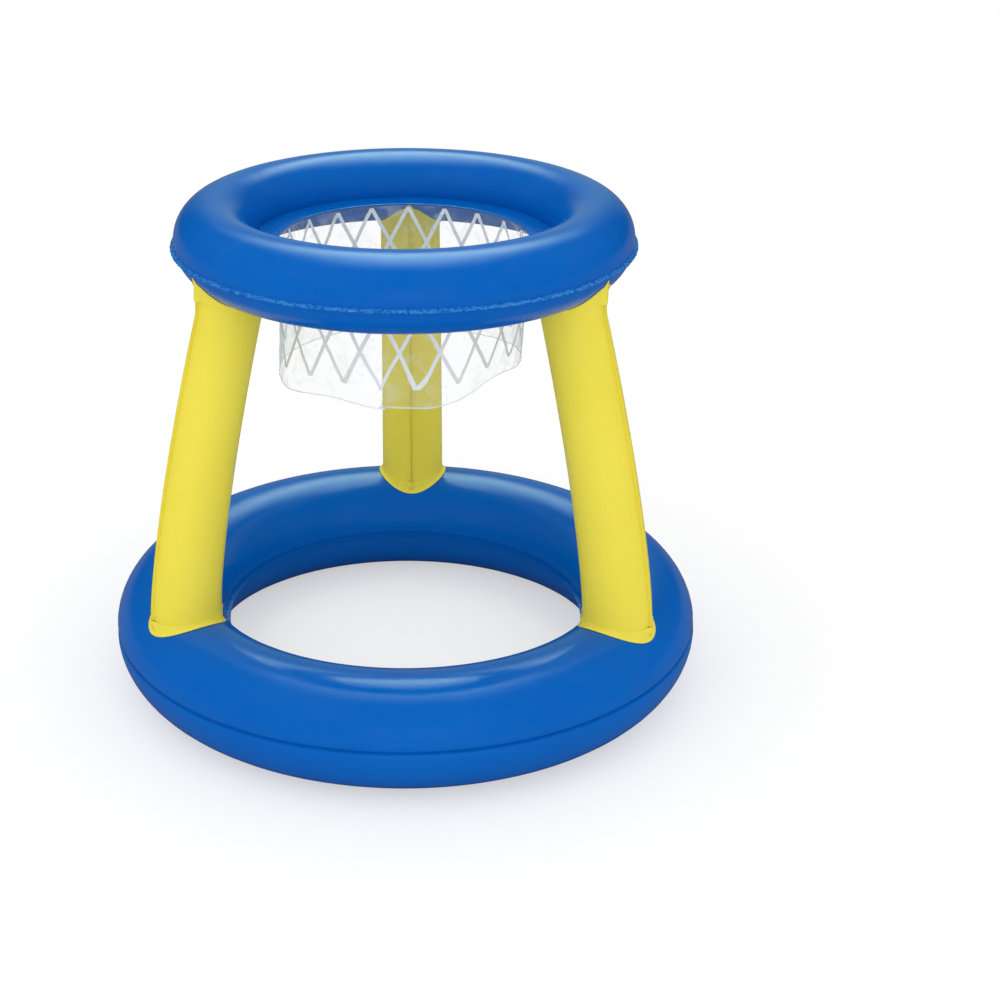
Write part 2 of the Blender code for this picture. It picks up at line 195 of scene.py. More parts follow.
# The light tent that gloss mirrors: its foot and front edge in degrees from the back horizon over the top,
# its sides as shares of the way aside, and the tint of its cloth
TENT_FOOT = (27.0, 52.0)
TENT_FRONT = (68.0, 108.0)
TENT_SIDES = (0.04, 0.5)
TENT_TINT = (0.72, 1.0, 0.7, 1)

# The spot near the object's middle to which the lamps are turned
LAMP_TARGET = (0, 0, 0.25)

# The photograph's view, fitted to both rings' outlines: place, yaw, pitch and roll in degrees, and shift
CAMERA_PLACE = (0.066, -1.8367, 0.9974)
CAMERA_TURN = (-2.05, 22.79, -0.22)
CAMERA_SHIFT = (0.0948, -0.0399)
SENSOR_WIDTH = 36.0
NEAR_CLIP = 0.05

# Materials
BLUE = "blue calendered vinyl"
YELLOW = "yellow calendered vinyl"
CLEAR = "clear calendered film"
INK = "screen-printed white ink"
MOULDED = "moulded soft PVC"

# Kinds of node that are used again and again
MATH = "ShaderNodeMath"
VECTOR = "ShaderNodeVectorMath"
RANGE = "ShaderNodeMapRange"
NOISE = "ShaderNodeTexNoise"
MIX = "ShaderNodeMix"
BUMP = "ShaderNodeBump"
COMBINE = "ShaderNodeCombineXYZ"
SEPARATE = "ShaderNodeSeparateXYZ"
ROTATE = "ShaderNodeVectorRotate"
PLACE = "GeometryNodeInputPosition"
SET_PLACE = "GeometryNodeSetPosition"
ATTRIBUTE = "GeometryNodeInputNamedAttribute"
SAMPLE = "GeometryNodeSampleIndex"


def linear(hex_colour):
    """Turn an sRGB hex colour into linear red, green and blue."""
    channels = [int(hex_colour[i:i + 2], 16) / 255 for i in (1, 3, 5)]
    return tuple(c / 12.92 if c <= 0.04045 else ((c + 0.055) / 1.055) ** 2.4 for c in channels)


def metres(name, description, default):
    """A length that a user may change."""
    return FloatProperty(name=name, description=description, default=default, unit="LENGTH")


def paint(name, description, hex_colour):
    """A colour that a user may change."""
    return FloatVectorProperty(name=name, description=description, default=linear(hex_colour),
                               subtype="COLOR")


class RingSizes(PropertyGroup):
    """Sizes of the two air rings."""

    base_radius: metres("Base radius", "Base ring's centre line", 0.2454)
    base_tube: metres("Base tube", "Radius of the base ring's tube", 0.0562)
    base_height: metres("Base height", "Height of the base ring's centre line", 0.054808)
    base_outer_seam: metres("Base outer seam", "Width of the outer weld", 0.0012)
    base_groove: metres("Base groove", "Depth to which the outer weld is drawn in", 0.0024)
    base_inner_seam: metres("Base inner seam", "Width of the inner weld", 0.005)
    top_radius: metres("Top radius", "Top ring's centre line", 0.1865)
    top_tube: metres("Top tube", "Radius of the top ring's tube", 0.0378)
    top_height: metres("Top height", "Height of the top ring's centre line", 0.4655)
    top_seam_drop: metres("Top seam drop", "How far the welds lie under the tube's middle", 0.005)
    top_outer_seam: metres("Top outer seam", "Width of the outer weld", 0.0035)
    top_inner_seam: metres("Top inner seam", "Width of the inner weld", 0.0265)
    seam_rise: metres("Seam rise", "Mean height of the base's outer weld over the middle", 0.0025)
    seam_sway: metres("Seam sway", "How far the base's outer weld climbs and dips", 0.003)
    lip_tilt: FloatProperty(name="Lip tilt", description="Fall of the outer weld's lip for its width",
                            default=0.5, subtype="FACTOR")
    rib_height: metres("Rib height", "Height of the weld ribs on the inner flange", 0.0005)
    rib_width: metres("Rib width", "Half width of one weld rib", 0.0009)
    crinkle_height: metres("Crinkle height", "Height of the puckers along a weld", 0.002)
    crinkle_length: metres("Crinkle length", "Length of one pucker", 0.009)
    crinkle_reach: metres("Crinkle reach", "How far up the tube the puckers run", 0.006)


class LegSizes(PropertyGroup):
    """Sizes of the three air legs and their cuffs."""

    foot_radius: metres("Foot radius", "Radius of a leg at the base ring", 0.0345)
    head_radius: metres("Head radius", "Radius of a leg at the top ring", 0.0317)
    bow: FloatProperty(name="Bow", description="How strongly a leg bows inwards", default=1.35,
                       subtype="FACTOR")
    seam: metres("Seam", "Width of the weld fin along a leg", 0.003)
    foot_cuff_rise: metres("Foot cuff rise", "Height of the lower cuff over the ring", 0.0065)
    foot_cuff_dip: metres("Foot cuff dip", "How far its edge dips at the fins", 0.005)
    head_cuff_rise: metres("Head cuff rise", "Height of the upper cuff under the ring", 0.0045)
    head_cuff_dip: metres("Head cuff dip", "How far its edge dips at the fins", 0.006)


class SleeveSizes(PropertyGroup):
    """Sizes of the clear net sleeve and its printed lattice."""

    length: metres("Length", "How far the film hangs down", 0.131)
    rim: metres("Rim", "Width of the film welded under the ring", 0.008)
    wave: metres("Wave", "Depth of the hem's soft folds", 0.0035)
    hem_wave: metres("Hem wave", "Rise and fall of the hem", 0.004)
    fold: metres("Fold", "Depth of the one deep fold at the front", 0.006)
    flare: metres("Flare", "How far the hem stands out on the left", 0.005)
    gather: metres("Gather", "How far the hem is drawn in on the right", 0.007)
    hem_lift: metres("Hem lift", "How far the hem rides up on the right", 0.012)
    pucker: metres("Pucker", "Depth of the short creases under the weld", 0.0014)
    columns: IntProperty(name="Columns", description="Points of the lattice round the sleeve", default=20,
                         min=3)
    line_width: metres("Line width", "Width of a printed line", 0.0038)
    lattice_top: metres("Lattice top", "Top points of the lattice below the rim", 0.0015)
    lattice_base: metres("Lattice base", "Lowest points of the lattice below the rim", 0.112)


class ValveSizes(PropertyGroup):
    """Sizes of the push-in valves, as in the CAD model."""

    plate_radius: metres("Plate radius", "Radius of the weld round the valve", 0.013)
    weld_inset: metres("Weld inset", "Inner radius of that weld", 0.0092)
    stem_radius: metres("Stem radius", "Radius of the barrel", 0.0063)
    stem_bore: metres("Stem bore", "Radius of the air way", 0.0039)
    stem_length: metres("Stem length", "Length of the barrel", 0.0145)
    collar_radius: metres("Collar radius", "Radius of the collar", 0.008)
    collar_wall: metres("Collar wall", "Height of the collar and of the foot", 0.0012)
    foot_radius: metres("Foot radius", "Radius of the foot", 0.0082)
    head_radius: metres("Head radius", "Radius of the stopper's head", 0.007)
    head_wall: metres("Head wall", "Height of the stopper's head", 0.002)
    plug_length: metres("Plug length", "Length of the plug", 0.0052)
    plug_tip: metres("Plug tip", "Radius of the plug's tip", 0.0026)
    strap_width: metres("Strap width", "Width of the strap", 0.0042)
    strap_wall: metres("Strap wall", "Height of the strap", 0.0008)
    strap_reach: metres("Strap reach", "Distance of the strap's bend from the valve's middle", 0.0105)
    grip_reach: metres("Grip reach", "Distance of the grip's tip from the middle", 0.0095)


class Finishes(PropertyGroup):
    """Colours of the vinyl, the ink and the film."""

    blue: paint("Blue", "Colour of the rings' vinyl", "#0064BE")
    deep_blue: paint("Deep blue", "Darker mottle of the rings", "#005AB5")
    # Colour of the painted glints in dashes along the rings' welds
    painted_glint: paint("Frost", "Pale tint of the rings' welds", "#3287D4")
    yellow: paint("Yellow", "Colour of the legs' vinyl", "#F0E253")
    deep_yellow: paint("Deep yellow", "Darker mottle of the legs", "#E8D947")
    film: paint("Film", "Tint of the clear film", "#E4F2F9")
    ink: paint("Ink", "Colour of the printed lattice", "#EAF0F3")
    valve: paint("Valve", "Colour of the moulded valves", "#DCE8F0")


class StudioSettings(PropertyGroup):
    """The camera and the lamps."""

    lens: FloatProperty(name="Lens", description="Focal length in millimetres", default=70.14,
                        subtype="DISTANCE_CAMERA")
    key_power: FloatProperty(name="Key power", description="Power of the softbox on the left", default=5.0,
                             unit="POWER")
    fill_power: FloatProperty(name="Fill power", description="Power of the low fill in front", default=7.0,
                              unit="POWER")
    surround: FloatProperty(name="Surround", description="Level of the soft light from all round",
                            default=0.96, min=0)
    tent: FloatProperty(name="Tent", description="Level of the light tent that glossy skins mirror",
                        default=12.0, min=0)


def add_node(tree, kind, links=None, **settings):
    """Add one node with its settings and links; a node given as a link stands for its first output."""
    node = tree.nodes.new(kind)
    for name, value in settings.items():
        setattr(node, name, value)
    for key, value in (links or {}).items():
        if isinstance(value, bpy.types.Node):
            value = value.outputs[0]
        if isinstance(value, bpy.types.NodeSocket):
            tree.links.new(value, node.inputs[key])
        else:
            node.inputs[key].default_value = value
    return node


def new_material(name):
    """A material with an empty tree, the function that fills it, and the place on the object."""
    material = bpy.data.materials.new(name)
    material.use_nodes = True
    material.node_tree.nodes.clear()
    add = partial(add_node, material.node_tree)
    return material, add, add("ShaderNodeTexCoord").outputs["Object"]


def add_surface(add, links):
    """End a material's tree in one Principled shader."""
    add("ShaderNodeOutputMaterial", {"Surface": add("ShaderNodeBsdfPrincipled", links)})


def uneven(add, grain, colour, dulled, smooth, rough):
    """Colour and gloss that follow a grain: duller and smoother where it is low."""
    dull = tuple(channel * dulled for channel in colour)
    tint = add(MIX, {0: grain, 6: (*dull, 1), 7: (*colour, 1)}, data_type="RGBA")
    gloss = add(RANGE, {"Value": grain, "To Min": smooth, "To Max": rough})
    return {"Base Color": tint.outputs[2], "Roughness": gloss}


def calendered_vinyl(name, colour, deep_colour, painted_glint_colour, roughness, level):
    """Soft PVC sheet from the calender: deep even colour, a soft gloss that puckers at welds, and painted
    glints along the welds.
    """
    material, add, place = new_material(name)
    # Mottle 90 mm across, where the sheet is a little thicker or thinner
    mottle = add(NOISE, {"Vector": place, "Scale": 11.0, "Detail": 2.0})
    tint = add(MIX, {0: mottle, 6: (*deep_colour, 1), 7: (*colour, 1)}, data_type="RGBA")
    # Painted glints along a weld, standing in for the sparkle of its puckers: paler, in dashes 3 mm long
    near_weld = add("ShaderNodeAttribute", attribute_name="crinkle").outputs["Fac"]
    fine = add(NOISE, {"Vector": place, "Scale": 330.0, "Detail": 2.0})
    on_weld = add(RANGE, {"Value": near_weld, "From Min": 0.93, "From Max": 0.99})
    dashes = add(RANGE, {"Value": fine, "From Min": 0.4, "From Max": 0.62, "To Min": 0.05, "To Max": 1.0})
    painted_glint = add(MATH, {0: on_weld, 1: dashes}, operation="MULTIPLY")
    with_painted_glints = add(MIX, {0: painted_glint, 6: tint.outputs[2], 7: (*painted_glint_colour, 1)}, data_type="RGBA")
    # Haze 14 mm across in the gloss
    haze = add(NOISE, {"Vector": place, "Scale": 70.0, "Detail": 3.0})
    gloss = add(RANGE, {"Value": haze, "From Min": 0.3, "From Max": 0.7,
                        "To Min": roughness - 0.03, "To Max": roughness + 0.04})
    # Ripples 30 mm across and a third of a millimetre high, as in any blown-up sheet
    ripple = add(NOISE, {"Vector": place, "Scale": 33.0, "Detail": 1.0})
    long_waves = add(BUMP, {"Height": ripple, "Strength": 0.5, "Distance": 0.0006})
    # Fine puckers 3 mm across, only where the crinkle attribute marks a weld
    raised = add(MATH, {0: fine, 1: near_weld}, operation="MULTIPLY")
    puckers = add(BUMP, {"Height": raised, "Strength": 0.35, "Distance": 0.0005, "Normal": long_waves})
    add_surface(add, {"Base Color": with_painted_glints.outputs[2], "Roughness": gloss, "Normal": puckers,
                      "IOR": 1.53, "Specular IOR Level": level})
    return material


def clear_film(name, colour):
    """Clear PVC film from the calender: nearly invisible face on, milky at weld and hem, with painted light
    and shade in streaks along its creases.
    """
    material, add, place = new_material(name)
    # Creases 20 mm apart that wander
    crease = add(NOISE, {"Vector": place, "Scale": 50.0, "Detail": 3.0, "Distortion": 1.2})
    bump = add(BUMP, {"Height": crease, "Strength": 0.6, "Distance": 0.0012})
    # The veil: a faint haze, strong by the weld and faint below it, with painted light and shade in streaks
    # along the creases that stand in for their glints and shading
    pattern = add("ShaderNodeUVMap", uv_map="Pattern")
    down = add(SEPARATE, {0: pattern}).outputs["Y"]
    by_weld = add(RANGE, {"Value": down, "From Min": 0.06, "From Max": 0.2, "To Min": 1.0, "To Max": 0.8},
                  interpolation_type="SMOOTHSTEP")
    painted_crease_streak = add(RANGE, {"Value": crease, "From Min": 0.5, "From Max": 0.74, "To Min": 0.05, "To Max": 0.2})
    haze_and_painted_creases = add(MATH, {0: by_weld, 1: painted_crease_streak}, operation="MULTIPLY")
    # More of the film lies in the eye's way where it is seen edge on, and this cover also paints the film's
    # brighter mirroring at grazing angles; its cut hem is white
    turned_away = add("ShaderNodeLayerWeight", {"Blend": 0.4, "Normal": bump}).outputs["Facing"]
    edge_on = add(RANGE, {"Value": turned_away, "From Min": 0.45, "To Min": 0.01, "To Max": 0.36})
    hem = add(RANGE, {"Value": down, "From Min": 0.988, "From Max": 0.992, "To Max": 0.4})
    both = add(MATH, {0: haze_and_painted_creases, 1: edge_on}, operation="ADD")
    cover = add(MATH, {0: both, 1: hem}, operation="ADD", use_clamp=True)
    gloss = add(RANGE, {"Value": crease, "To Min": 0.06, "To Max": 0.16})
    add_surface(add, {"Base Color": (*colour, 1), "IOR": 1.5, "Alpha": cover, "Roughness": gloss,
                      "Normal": bump})
    return material


def printed_ink(name, colour):
    """Screen-printed white ink: matt, a little uneven where the screen let less through."""
    material, add, place = new_material(name)
    # Speckle 2.5 mm across, coarser than a real screen's so that it shows
    speckle = add(NOISE, {"Vector": place, "Scale": 400.0, "Detail": 1.0})
    add_surface(add, {"IOR": 1.48, **uneven(add, speckle, colour, 0.94, 0.38, 0.5)})
    return material


def moulded_pvc(name, colour):
    """Soft injection-moulded PVC: a satin skin with faint flow marks."""
    material, add, place = new_material(name)
    # Flow marks 4 mm across
    flow = add(NOISE, {"Vector": place, "Scale": 260.0, "Detail": 2.0, "Distortion": 0.6})
    bump = add(BUMP, {"Height": flow, "Strength": 0.3, "Distance": 0.00005})
    add_surface(add, {"IOR": 1.52, "Subsurface Weight": 0.2, "Subsurface Scale": 0.002, "Normal": bump,
                      **uneven(add, flow, colour, 0.92, 0.3, 0.42)})
    return material


def material_called(name):
    """The material of a name, made once from the scene's finishes."""
    if name in bpy.data.materials:
        return bpy.data.materials[name]
    finishes = bpy.context.scene.hoop_finishes
    if name == BLUE:
        return calendered_vinyl(name, finishes.blue, finishes.deep_blue, finishes.painted_glint, 0.2, 0.15)
    if name == YELLOW:
        return calendered_vinyl(name, finishes.yellow, finishes.deep_yellow, finishes.yellow, 0.26, 0.16)
    if name == CLEAR:
        return clear_film(name, finishes.film)
    if name == INK:
        return printed_ink(name, finishes.ink)
    return moulded_pvc(name, finishes.valve)


def show(item):
    """Put an object in the scene."""
    bpy.context.scene.collection.objects.link(item)
    return item


def mesh_object(name, points, faces, material=None):
    """An object at the origin from points and faces."""
    mesh = bpy.data.meshes.new(name)
    mesh.from_pydata([tuple(point) for point in points], [], faces)
    if material:
        mesh.materials.append(material)
    mesh.shade_smooth()
    return show(bpy.data.objects.new(name, mesh))


def polar(reach, angle, height):
    """A point by its distance from the axis, its heading and its height."""
    return Vector((reach * math.cos(angle), reach * math.sin(angle), height))


def net_faces(rows, columns, rows_meet=False, columns_meet=False):
    """Faces over a net of points that are given row by row; a net that meets itself is closed there."""
    faces = []
    for i in range(rows if rows_meet else rows - 1):
        for j in range(columns if columns_meet else columns - 1):
            row, after = i * columns, (i + 1) % rows * columns
            beside = (j + 1) % columns
            faces.append((row + j, row + beside, after + beside, after + j))
    return faces


def make_plain(item):
    """Turn what an object's modifiers show into its own plain mesh."""
    graph = bpy.context.evaluated_depsgraph_get()
    graph.update()
    mesh = bpy.data.meshes.new_from_object(item.evaluated_get(graph))
    item.modifiers.clear()
    item.data = mesh
    mesh.name = item.name


def finish_piece(item, body, nodes, sharp=50.0):
    """Make a piece's mesh plain, tie it to its body, and hide the CAD nodes that it replaces."""
    make_plain(item)
    item.data.shade_smooth()
    item.data.set_sharp_from_angle(angle=math.radians(sharp))
    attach(item, body)
    if nodes:
        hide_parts(*nodes)
    return item


def add_wall(item, thickness, offset=-1.0, even=True):
    """Give a sheet its thickness."""
    wall = item.modifiers.new("Wall", "SOLIDIFY")
    wall.thickness = thickness
    wall.offset = offset
    wall.use_even_offset = even


def geometry_tree(name, sockets):
    """A geometry tree with named inputs; returns it, the function that fills it and its inputs."""
    tree = bpy.data.node_groups.new(name, "GeometryNodeTree")
    for label, kind, default in sockets:
        socket = tree.interface.new_socket(name=label, in_out="INPUT", socket_type="NodeSocket" + kind)
        if default is not None:
            socket.default_value = default
    tree.interface.new_socket(name="Geometry", in_out="OUTPUT", socket_type="NodeSocketGeometry")
    add = partial(add_node, tree)
    return tree, add, add("NodeGroupInput").outputs


def run_tree(item, tree, values):
    """Add a geometry tree to an object and set its inputs by their identifiers."""
    modifier = item.modifiers.new(tree.name, "NODES")
    modifier.node_group = tree
    for socket in tree.interface.items_tree:
        if socket.in_out == "INPUT" and socket.name in values:
            modifier[socket.identifier] = values[socket.name]


def turned_sheet_tree():
    """Turn a profile once round Z: each grid row takes one profile point, and a seamless noise puckers it."""
    tree, add, given = geometry_tree("Turned sheet", [
        ("Profile", "Object", None), ("Points", "Int", 2), ("Around", "Int", 64),
        ("Crinkle Height", "Float", 0.0), ("Crinkles Around", "Float", 10.0), ("Seed", "Float", 0.0),
        ("Floor", "Float", -1.0), ("Material", "Material", None), ("Tube Centre", "Vector", None),
        ("Weld Turn", "Float", 0.0), ("Weld Sway", "Float", 0.0), ("Sway Heading", "Float", 0.0),
    ])
    columns = add(MATH, {0: given["Around"], 1: 1.0}, operation="ADD")
    grid = add("GeometryNodeMeshGrid", {"Vertices X": columns, "Vertices Y": given["Points"]})
    index = add("GeometryNodeInputIndex")
    row = add(MATH, {0: index, 1: given["Points"]}, operation="MODULO")
    passed = add(MATH, {0: index, 1: given["Points"]}, operation="DIVIDE")
    column = add(MATH, {0: passed}, operation="FLOOR")
    turn = add(MATH, {0: column, 1: given["Around"]}, operation="DIVIDE")
    angle = add(MATH, {0: turn, 1: 2 * math.pi}, operation="MULTIPLY")
    profile = add("GeometryNodeObjectInfo", {"Object": given["Profile"]}).outputs["Geometry"]
    point = add(SAMPLE, {"Geometry": profile, "Value": add(PLACE), "Index": row}, data_type="FLOAT_VECTOR")
    # The profile says how much of the puckers each row takes
    weight = add(ATTRIBUTE, {"Name": "crinkle"}, data_type="FLOAT")
    share = add(SAMPLE, {"Geometry": profile, "Value": weight, "Index": row}, data_type="FLOAT")
    # A noise on a circle meets itself: a finer one moves a row in and out, a coarser one up and down
    start = add(COMBINE, {"X": given["Crinkles Around"], "Z": given["Seed"]})
    circle = add(ROTATE, {"Vector": start, "Angle": angle}, rotation_type="Z_AXIS")
    shifts = []
    for scale, detail in ((1.9, 2.0), (1.0, 3.0)):
        noise = add(NOISE, {"Vector": circle, "Scale": scale, "Detail": detail})
        centred = add(MATH, {0: noise, 1: 0.5}, operation="SUBTRACT")
        height = add(MATH, {0: centred, 1: given["Crinkle Height"]}, operation="MULTIPLY")
        shifts.append(add(MATH, {0: height, 1: share}, operation="MULTIPLY"))
    shift = add(COMBINE, {"X": shifts[0], "Z": shifts[1]})
    crinkled = add(VECTOR, {0: point, 1: shift}, operation="ADD")
    # The weld climbs and dips: the profile is rolled about the tube's middle, which leaves the tube round
    heading = add(MATH, {0: angle, 1: given["Sway Heading"]}, operation="SUBTRACT")
    swing = add(MATH, {0: heading}, operation="COSINE")
    climb = add(MATH, {0: swing, 1: given["Weld Sway"], 2: given["Weld Turn"]}, operation="MULTIPLY_ADD")
    roll = add(MATH, {0: climb, 1: -1.0}, operation="MULTIPLY")
    rolled = add(ROTATE, {"Vector": crinkled, "Angle": roll, "Center": given["Tube Centre"]},
                 rotation_type="Y_AXIS")
    swept = add(ROTATE, {"Vector": rolled, "Angle": angle}, rotation_type="Z_AXIS")
    # Nothing lies under the floor
    low = add(COMBINE, {"X": -10.0, "Y": -10.0, "Z": given["Floor"]})
    rested = add(VECTOR, {0: swept, 1: low}, operation="MAXIMUM")
    moved = add(SET_PLACE, {"Geometry": grid, "Position": rested})
    kept = add("GeometryNodeStoreNamedAttribute", {"Geometry": moved, "Name": "crinkle", "Value": share},
               data_type="FLOAT", domain="POINT")
    joined = add("GeometryNodeMergeByDistance", {"Geometry": kept, "Distance": 0.000001})
    real = add("GeometryNodeRealizeInstances", {"Geometry": joined})
    dressed = add("GeometryNodeSetMaterial", {"Geometry": real, "Material": given["Material"]})
    add("NodeGroupOutput", {"Geometry": dressed})
    return tree


def turned(name, profile, around, material, crinkle=None, **values):
    """A sheet turned round Z from (radius, height) points; values are inputs of the geometry tree."""
    tree = bpy.data.node_groups.get("Turned sheet") or turned_sheet_tree()
    guide_mesh = bpy.data.meshes.new(name + ".profile")
    guide_mesh.from_pydata([(radius, 0.0, height) for radius, height in profile],
                           [(i, i + 1) for i in range(len(profile) - 1)], [])
    weights = guide_mesh.attributes.new("crinkle", "FLOAT", "POINT")
    weights.data.foreach_set("value", crinkle or [0.0] * len(profile))
    guide = show(bpy.data.objects.new(name + ".profile", guide_mesh))
    item = mesh_object(name, [], [])
    run_tree(item, tree, {"Profile": guide, "Points": len(profile), "Around": around, "Material": material,
                          "Floor": -1.0, **values})
    make_plain(item)
    bpy.data.objects.remove(guide, do_unlink=True)
    return item


def arc_runs(length):
    """Distances along a ring sheet from weld to weld, close together near both welds."""
    first, last = WELD_RUNS[-1], length - WELD_RUNS[-1]
    middle = [first + (last - first) * i / RING_ARC for i in range(1, RING_ARC)]
    return [*WELD_RUNS, *middle, *(length - run for run in WELD_RUNS[::-1])]


def ring_profile(sizes, radius, height, tube, drop, outer_seam, inner_seam, groove, side):
    """Outer side of a ring sheet from outer weld edge to inner weld edge, with crinkle weights."""
    start = math.asin((side * (GAP / 2 + SKIN) - drop) / tube)
    length = (math.pi - 2 * side * start) * tube
    level = height + tube * math.sin(start)
    edge = radius + tube * math.cos(start) - groove
    lip = [outer_seam * (1 - i / LIP_POINTS) for i in range(LIP_POINTS)]
    points = [(edge + out, level - sizes.lip_tilt * out) for out in lip]
    weights = [0.5 if groove else 1.0] * LIP_POINTS
    for run in arc_runs(length):
        angle = start + side * run / tube
        reach = tube - groove * math.exp(-run / sizes.base_groove) if groove else tube
        points.append((radius + reach * math.cos(angle), height + reach * math.sin(angle)))
        weights.append(max(weights[0] * math.exp(-run / sizes.crinkle_reach),
                           0.3 * math.exp((run - length) / sizes.crinkle_reach)))
    # The inner weld: a plain lip on the base, a wide flange with weld ribs near its edge on the top ring
    edge = radius - tube * math.cos(start)
    flanged = inner_seam > sizes.base_inner_seam
    ribs = [FIRST_RIB, *(share * inner_seam for share in RIB_SHARES)] if flanged and side > 0 else []
    steps = FLANGE_POINTS if flanged else INNER_LIP_POINTS
    for i in range(1, steps + 1):
        inset = inner_seam * (i / steps)
        lift = sum(sizes.rib_height * math.exp(-((inset - rib) / sizes.rib_width) ** 2) for rib in ribs)
        points.append((edge - inset, level + lift))
        weights.append(0.3)
    return points, weights


class HOOP_OT_air_rings(Operator):
    """Make the upper and lower sheets of both air rings"""

    bl_idname = "hoop.air_rings"
    bl_label = "Air rings"

    def execute(self, context):
        """Turn each sheet, with puckers along its welds and a flat where the base rests."""
        sizes = context.scene.hoop_rings
        rings = {
            "base_ring": (sizes.base_radius, sizes.base_height, sizes.base_tube, 0.0,
                          sizes.base_outer_seam, sizes.base_inner_seam, sizes.base_groove),
            "top_ring": (sizes.top_radius, sizes.top_height, sizes.top_tube, sizes.top_seam_drop,
                         sizes.top_outer_seam, sizes.top_inner_seam, 0.0),
        }
        for seed, (ring, dimensions) in enumerate(rings.items()):
            radius, height, tube = dimensions[:3]
            sway = 1.0 if ring == "base_ring" else 0.0
            for side, word in ((1, "upper"), (-1, "lower")):
                node = f"{ring}_{word}_sheet"
                profile, weights = ring_profile(sizes, *dimensions, side)
                sheet = turned(f"{node}.skin", profile, RING_AROUND[ring], material_called(BLUE), weights, **{
                    "Crinkle Height": sizes.crinkle_height, "Crinkles Around": radius / sizes.crinkle_length,
                    "Seed": float(seed), "Floor": 0.0, "Tube Centre": (radius, 0.0, height),
                    "Weld Turn": sway * sizes.seam_rise / tube, "Weld Sway": sway * sizes.seam_sway / tube,
                    "Sway Heading": math.radians(WELD_CLIMB_HEADING),
                })
                if side < 0:
                    sheet.data.flip_normals()
                add_wall(sheet, SKIN, even=False)
                finish_piece(sheet, "hoop", [node])
        return {"FINISHED"}


class LegShape:
    """The centre line and radius of a leg by height: upright in both cuffs and bowed inwards between."""

    # Share of the free length from which the bow eases off into the head cuff
    ease = 0.96

    def __init__(self, scene):
        self.rings = rings = scene.hoop_rings
        self.legs = legs = scene.hoop_legs
        self.base_crown = rings.base_height * 2
        top_rise = math.asin((GAP / 2 + SKIN + rings.top_seam_drop) / rings.top_tube)
        flat = (math.pi - 2 * top_rise) / (2 * CAD_FLATS)
        self.top_keel = rings.top_height - rings.top_tube * math.cos(flat)
        self.low = self.base_crown + legs.foot_cuff_rise
        self.high = self.top_keel - legs.head_cuff_rise
        self.lean = (rings.base_radius - rings.top_radius) / self.bowed(1.0)

    def bowed(self, share):
        """Share of the lean at a share of the free length."""
        if share <= self.ease:
            return max(share, 0.0) ** self.legs.bow
        past = min(share, 1.0) - self.ease
        slope = self.legs.bow * self.ease ** (self.legs.bow - 1)
        return self.ease ** self.legs.bow + slope * (past - past ** 2 / (2 * (1 - self.ease)))

    def share(self, height):
        """How far up the free stretch a height lies."""
        return (height - self.low) / (self.high - self.low)

    def centre(self, height):
        """Distance of the leg's centre from the hoop's axis."""
        return self.rings.base_radius - self.lean * self.bowed(self.share(height))

    def radius(self, height):
        """Radius of the tube at a height."""
        share = min(max(self.share(height), 0.0), 1.0)
        return self.legs.foot_radius + (self.legs.head_radius - self.legs.foot_radius) * share

    def base_skin(self, outward, aside, gap):
        """Height of the base ring's skin over a point of the floor."""
        across = math.hypot(outward, aside) - self.rings.base_radius
        return self.rings.base_height + math.sqrt(max((self.rings.base_tube + gap) ** 2 - across ** 2, 0.0))

    def top_skin(self, outward, aside, gap):
        """Height of the top ring's underside over a point of the floor."""
        across = math.hypot(outward, aside) - self.rings.top_radius
        return self.rings.top_height - math.sqrt(max((self.rings.top_tube + gap) ** 2 - across ** 2, 0.0))


def dent(distance, angle, shift, size):
    """Depth of the soft dents near a cuff: none at its edge, most a little way off, then fading."""
    depth, around, start, end = size
    away = max(distance, 0.0)
    strength = (1 - math.exp(-away / start)) * math.exp(-away / end)
    return depth * math.cos(around * angle + shift) * strength


def leg_panel(shape, name, azimuth, side, material):
    """One long panel of a leg, with a weld fin down each edge and soft dents at its ends."""
    legs = shape.legs
    start = math.asin((GAP / 2 + SKIN) / shape.radius(shape.low))
    angles = [start + (math.pi - 2 * start) * i / LEG_ARC for i in range(LEG_ARC + 1)]
    turn = Matrix.Rotation(math.radians(azimuth), 4, "Z")
    points = []
    for row in range(LEG_ROWS + 1):
        for place in range(-2, LEG_ARC + 3):
            angle = angles[min(max(place, 0), LEG_ARC)]
            foot_x = shape.rings.base_radius + legs.foot_radius * math.cos(angle)
            head_x = shape.rings.top_radius + legs.head_radius * math.cos(angle)
            foot = shape.base_skin(foot_x, legs.foot_radius * math.sin(angle), GAP)
            head = shape.top_skin(head_x, legs.head_radius * math.sin(angle), GAP)
            height = foot + (head - foot) * (row / LEG_ROWS)
            # The fin runs out inside both cuffs
            above = height - (shape.low - legs.foot_cuff_dip) + legs.seam
            below = shape.high + legs.head_cuff_dip - height + legs.seam
            taper = min(max(min(above, below) / legs.seam, 0.0), 1.0)
            dents = (dent(height - shape.low, angle, 5 * side, FOOT_DENT)
                     + dent(shape.high - height, angle, 2, HEAD_DENT))
            radius = shape.radius(height) - abs(dents) * min(math.sin(angle) * 3, 1)
            out = shape.centre(height) + radius * math.cos(angle)
            out += math.copysign(legs.seam * FIN_SHARES.get(place, 0.0) * taper, math.cos(angle))
            points.append(turn @ Vector((out, side * radius * math.sin(angle), height)))
    faces = net_faces(LEG_ROWS + 1, LEG_ARC + 5)
    return mesh_object(name, points, faces if side > 0 else [face[::-1] for face in faces], material)


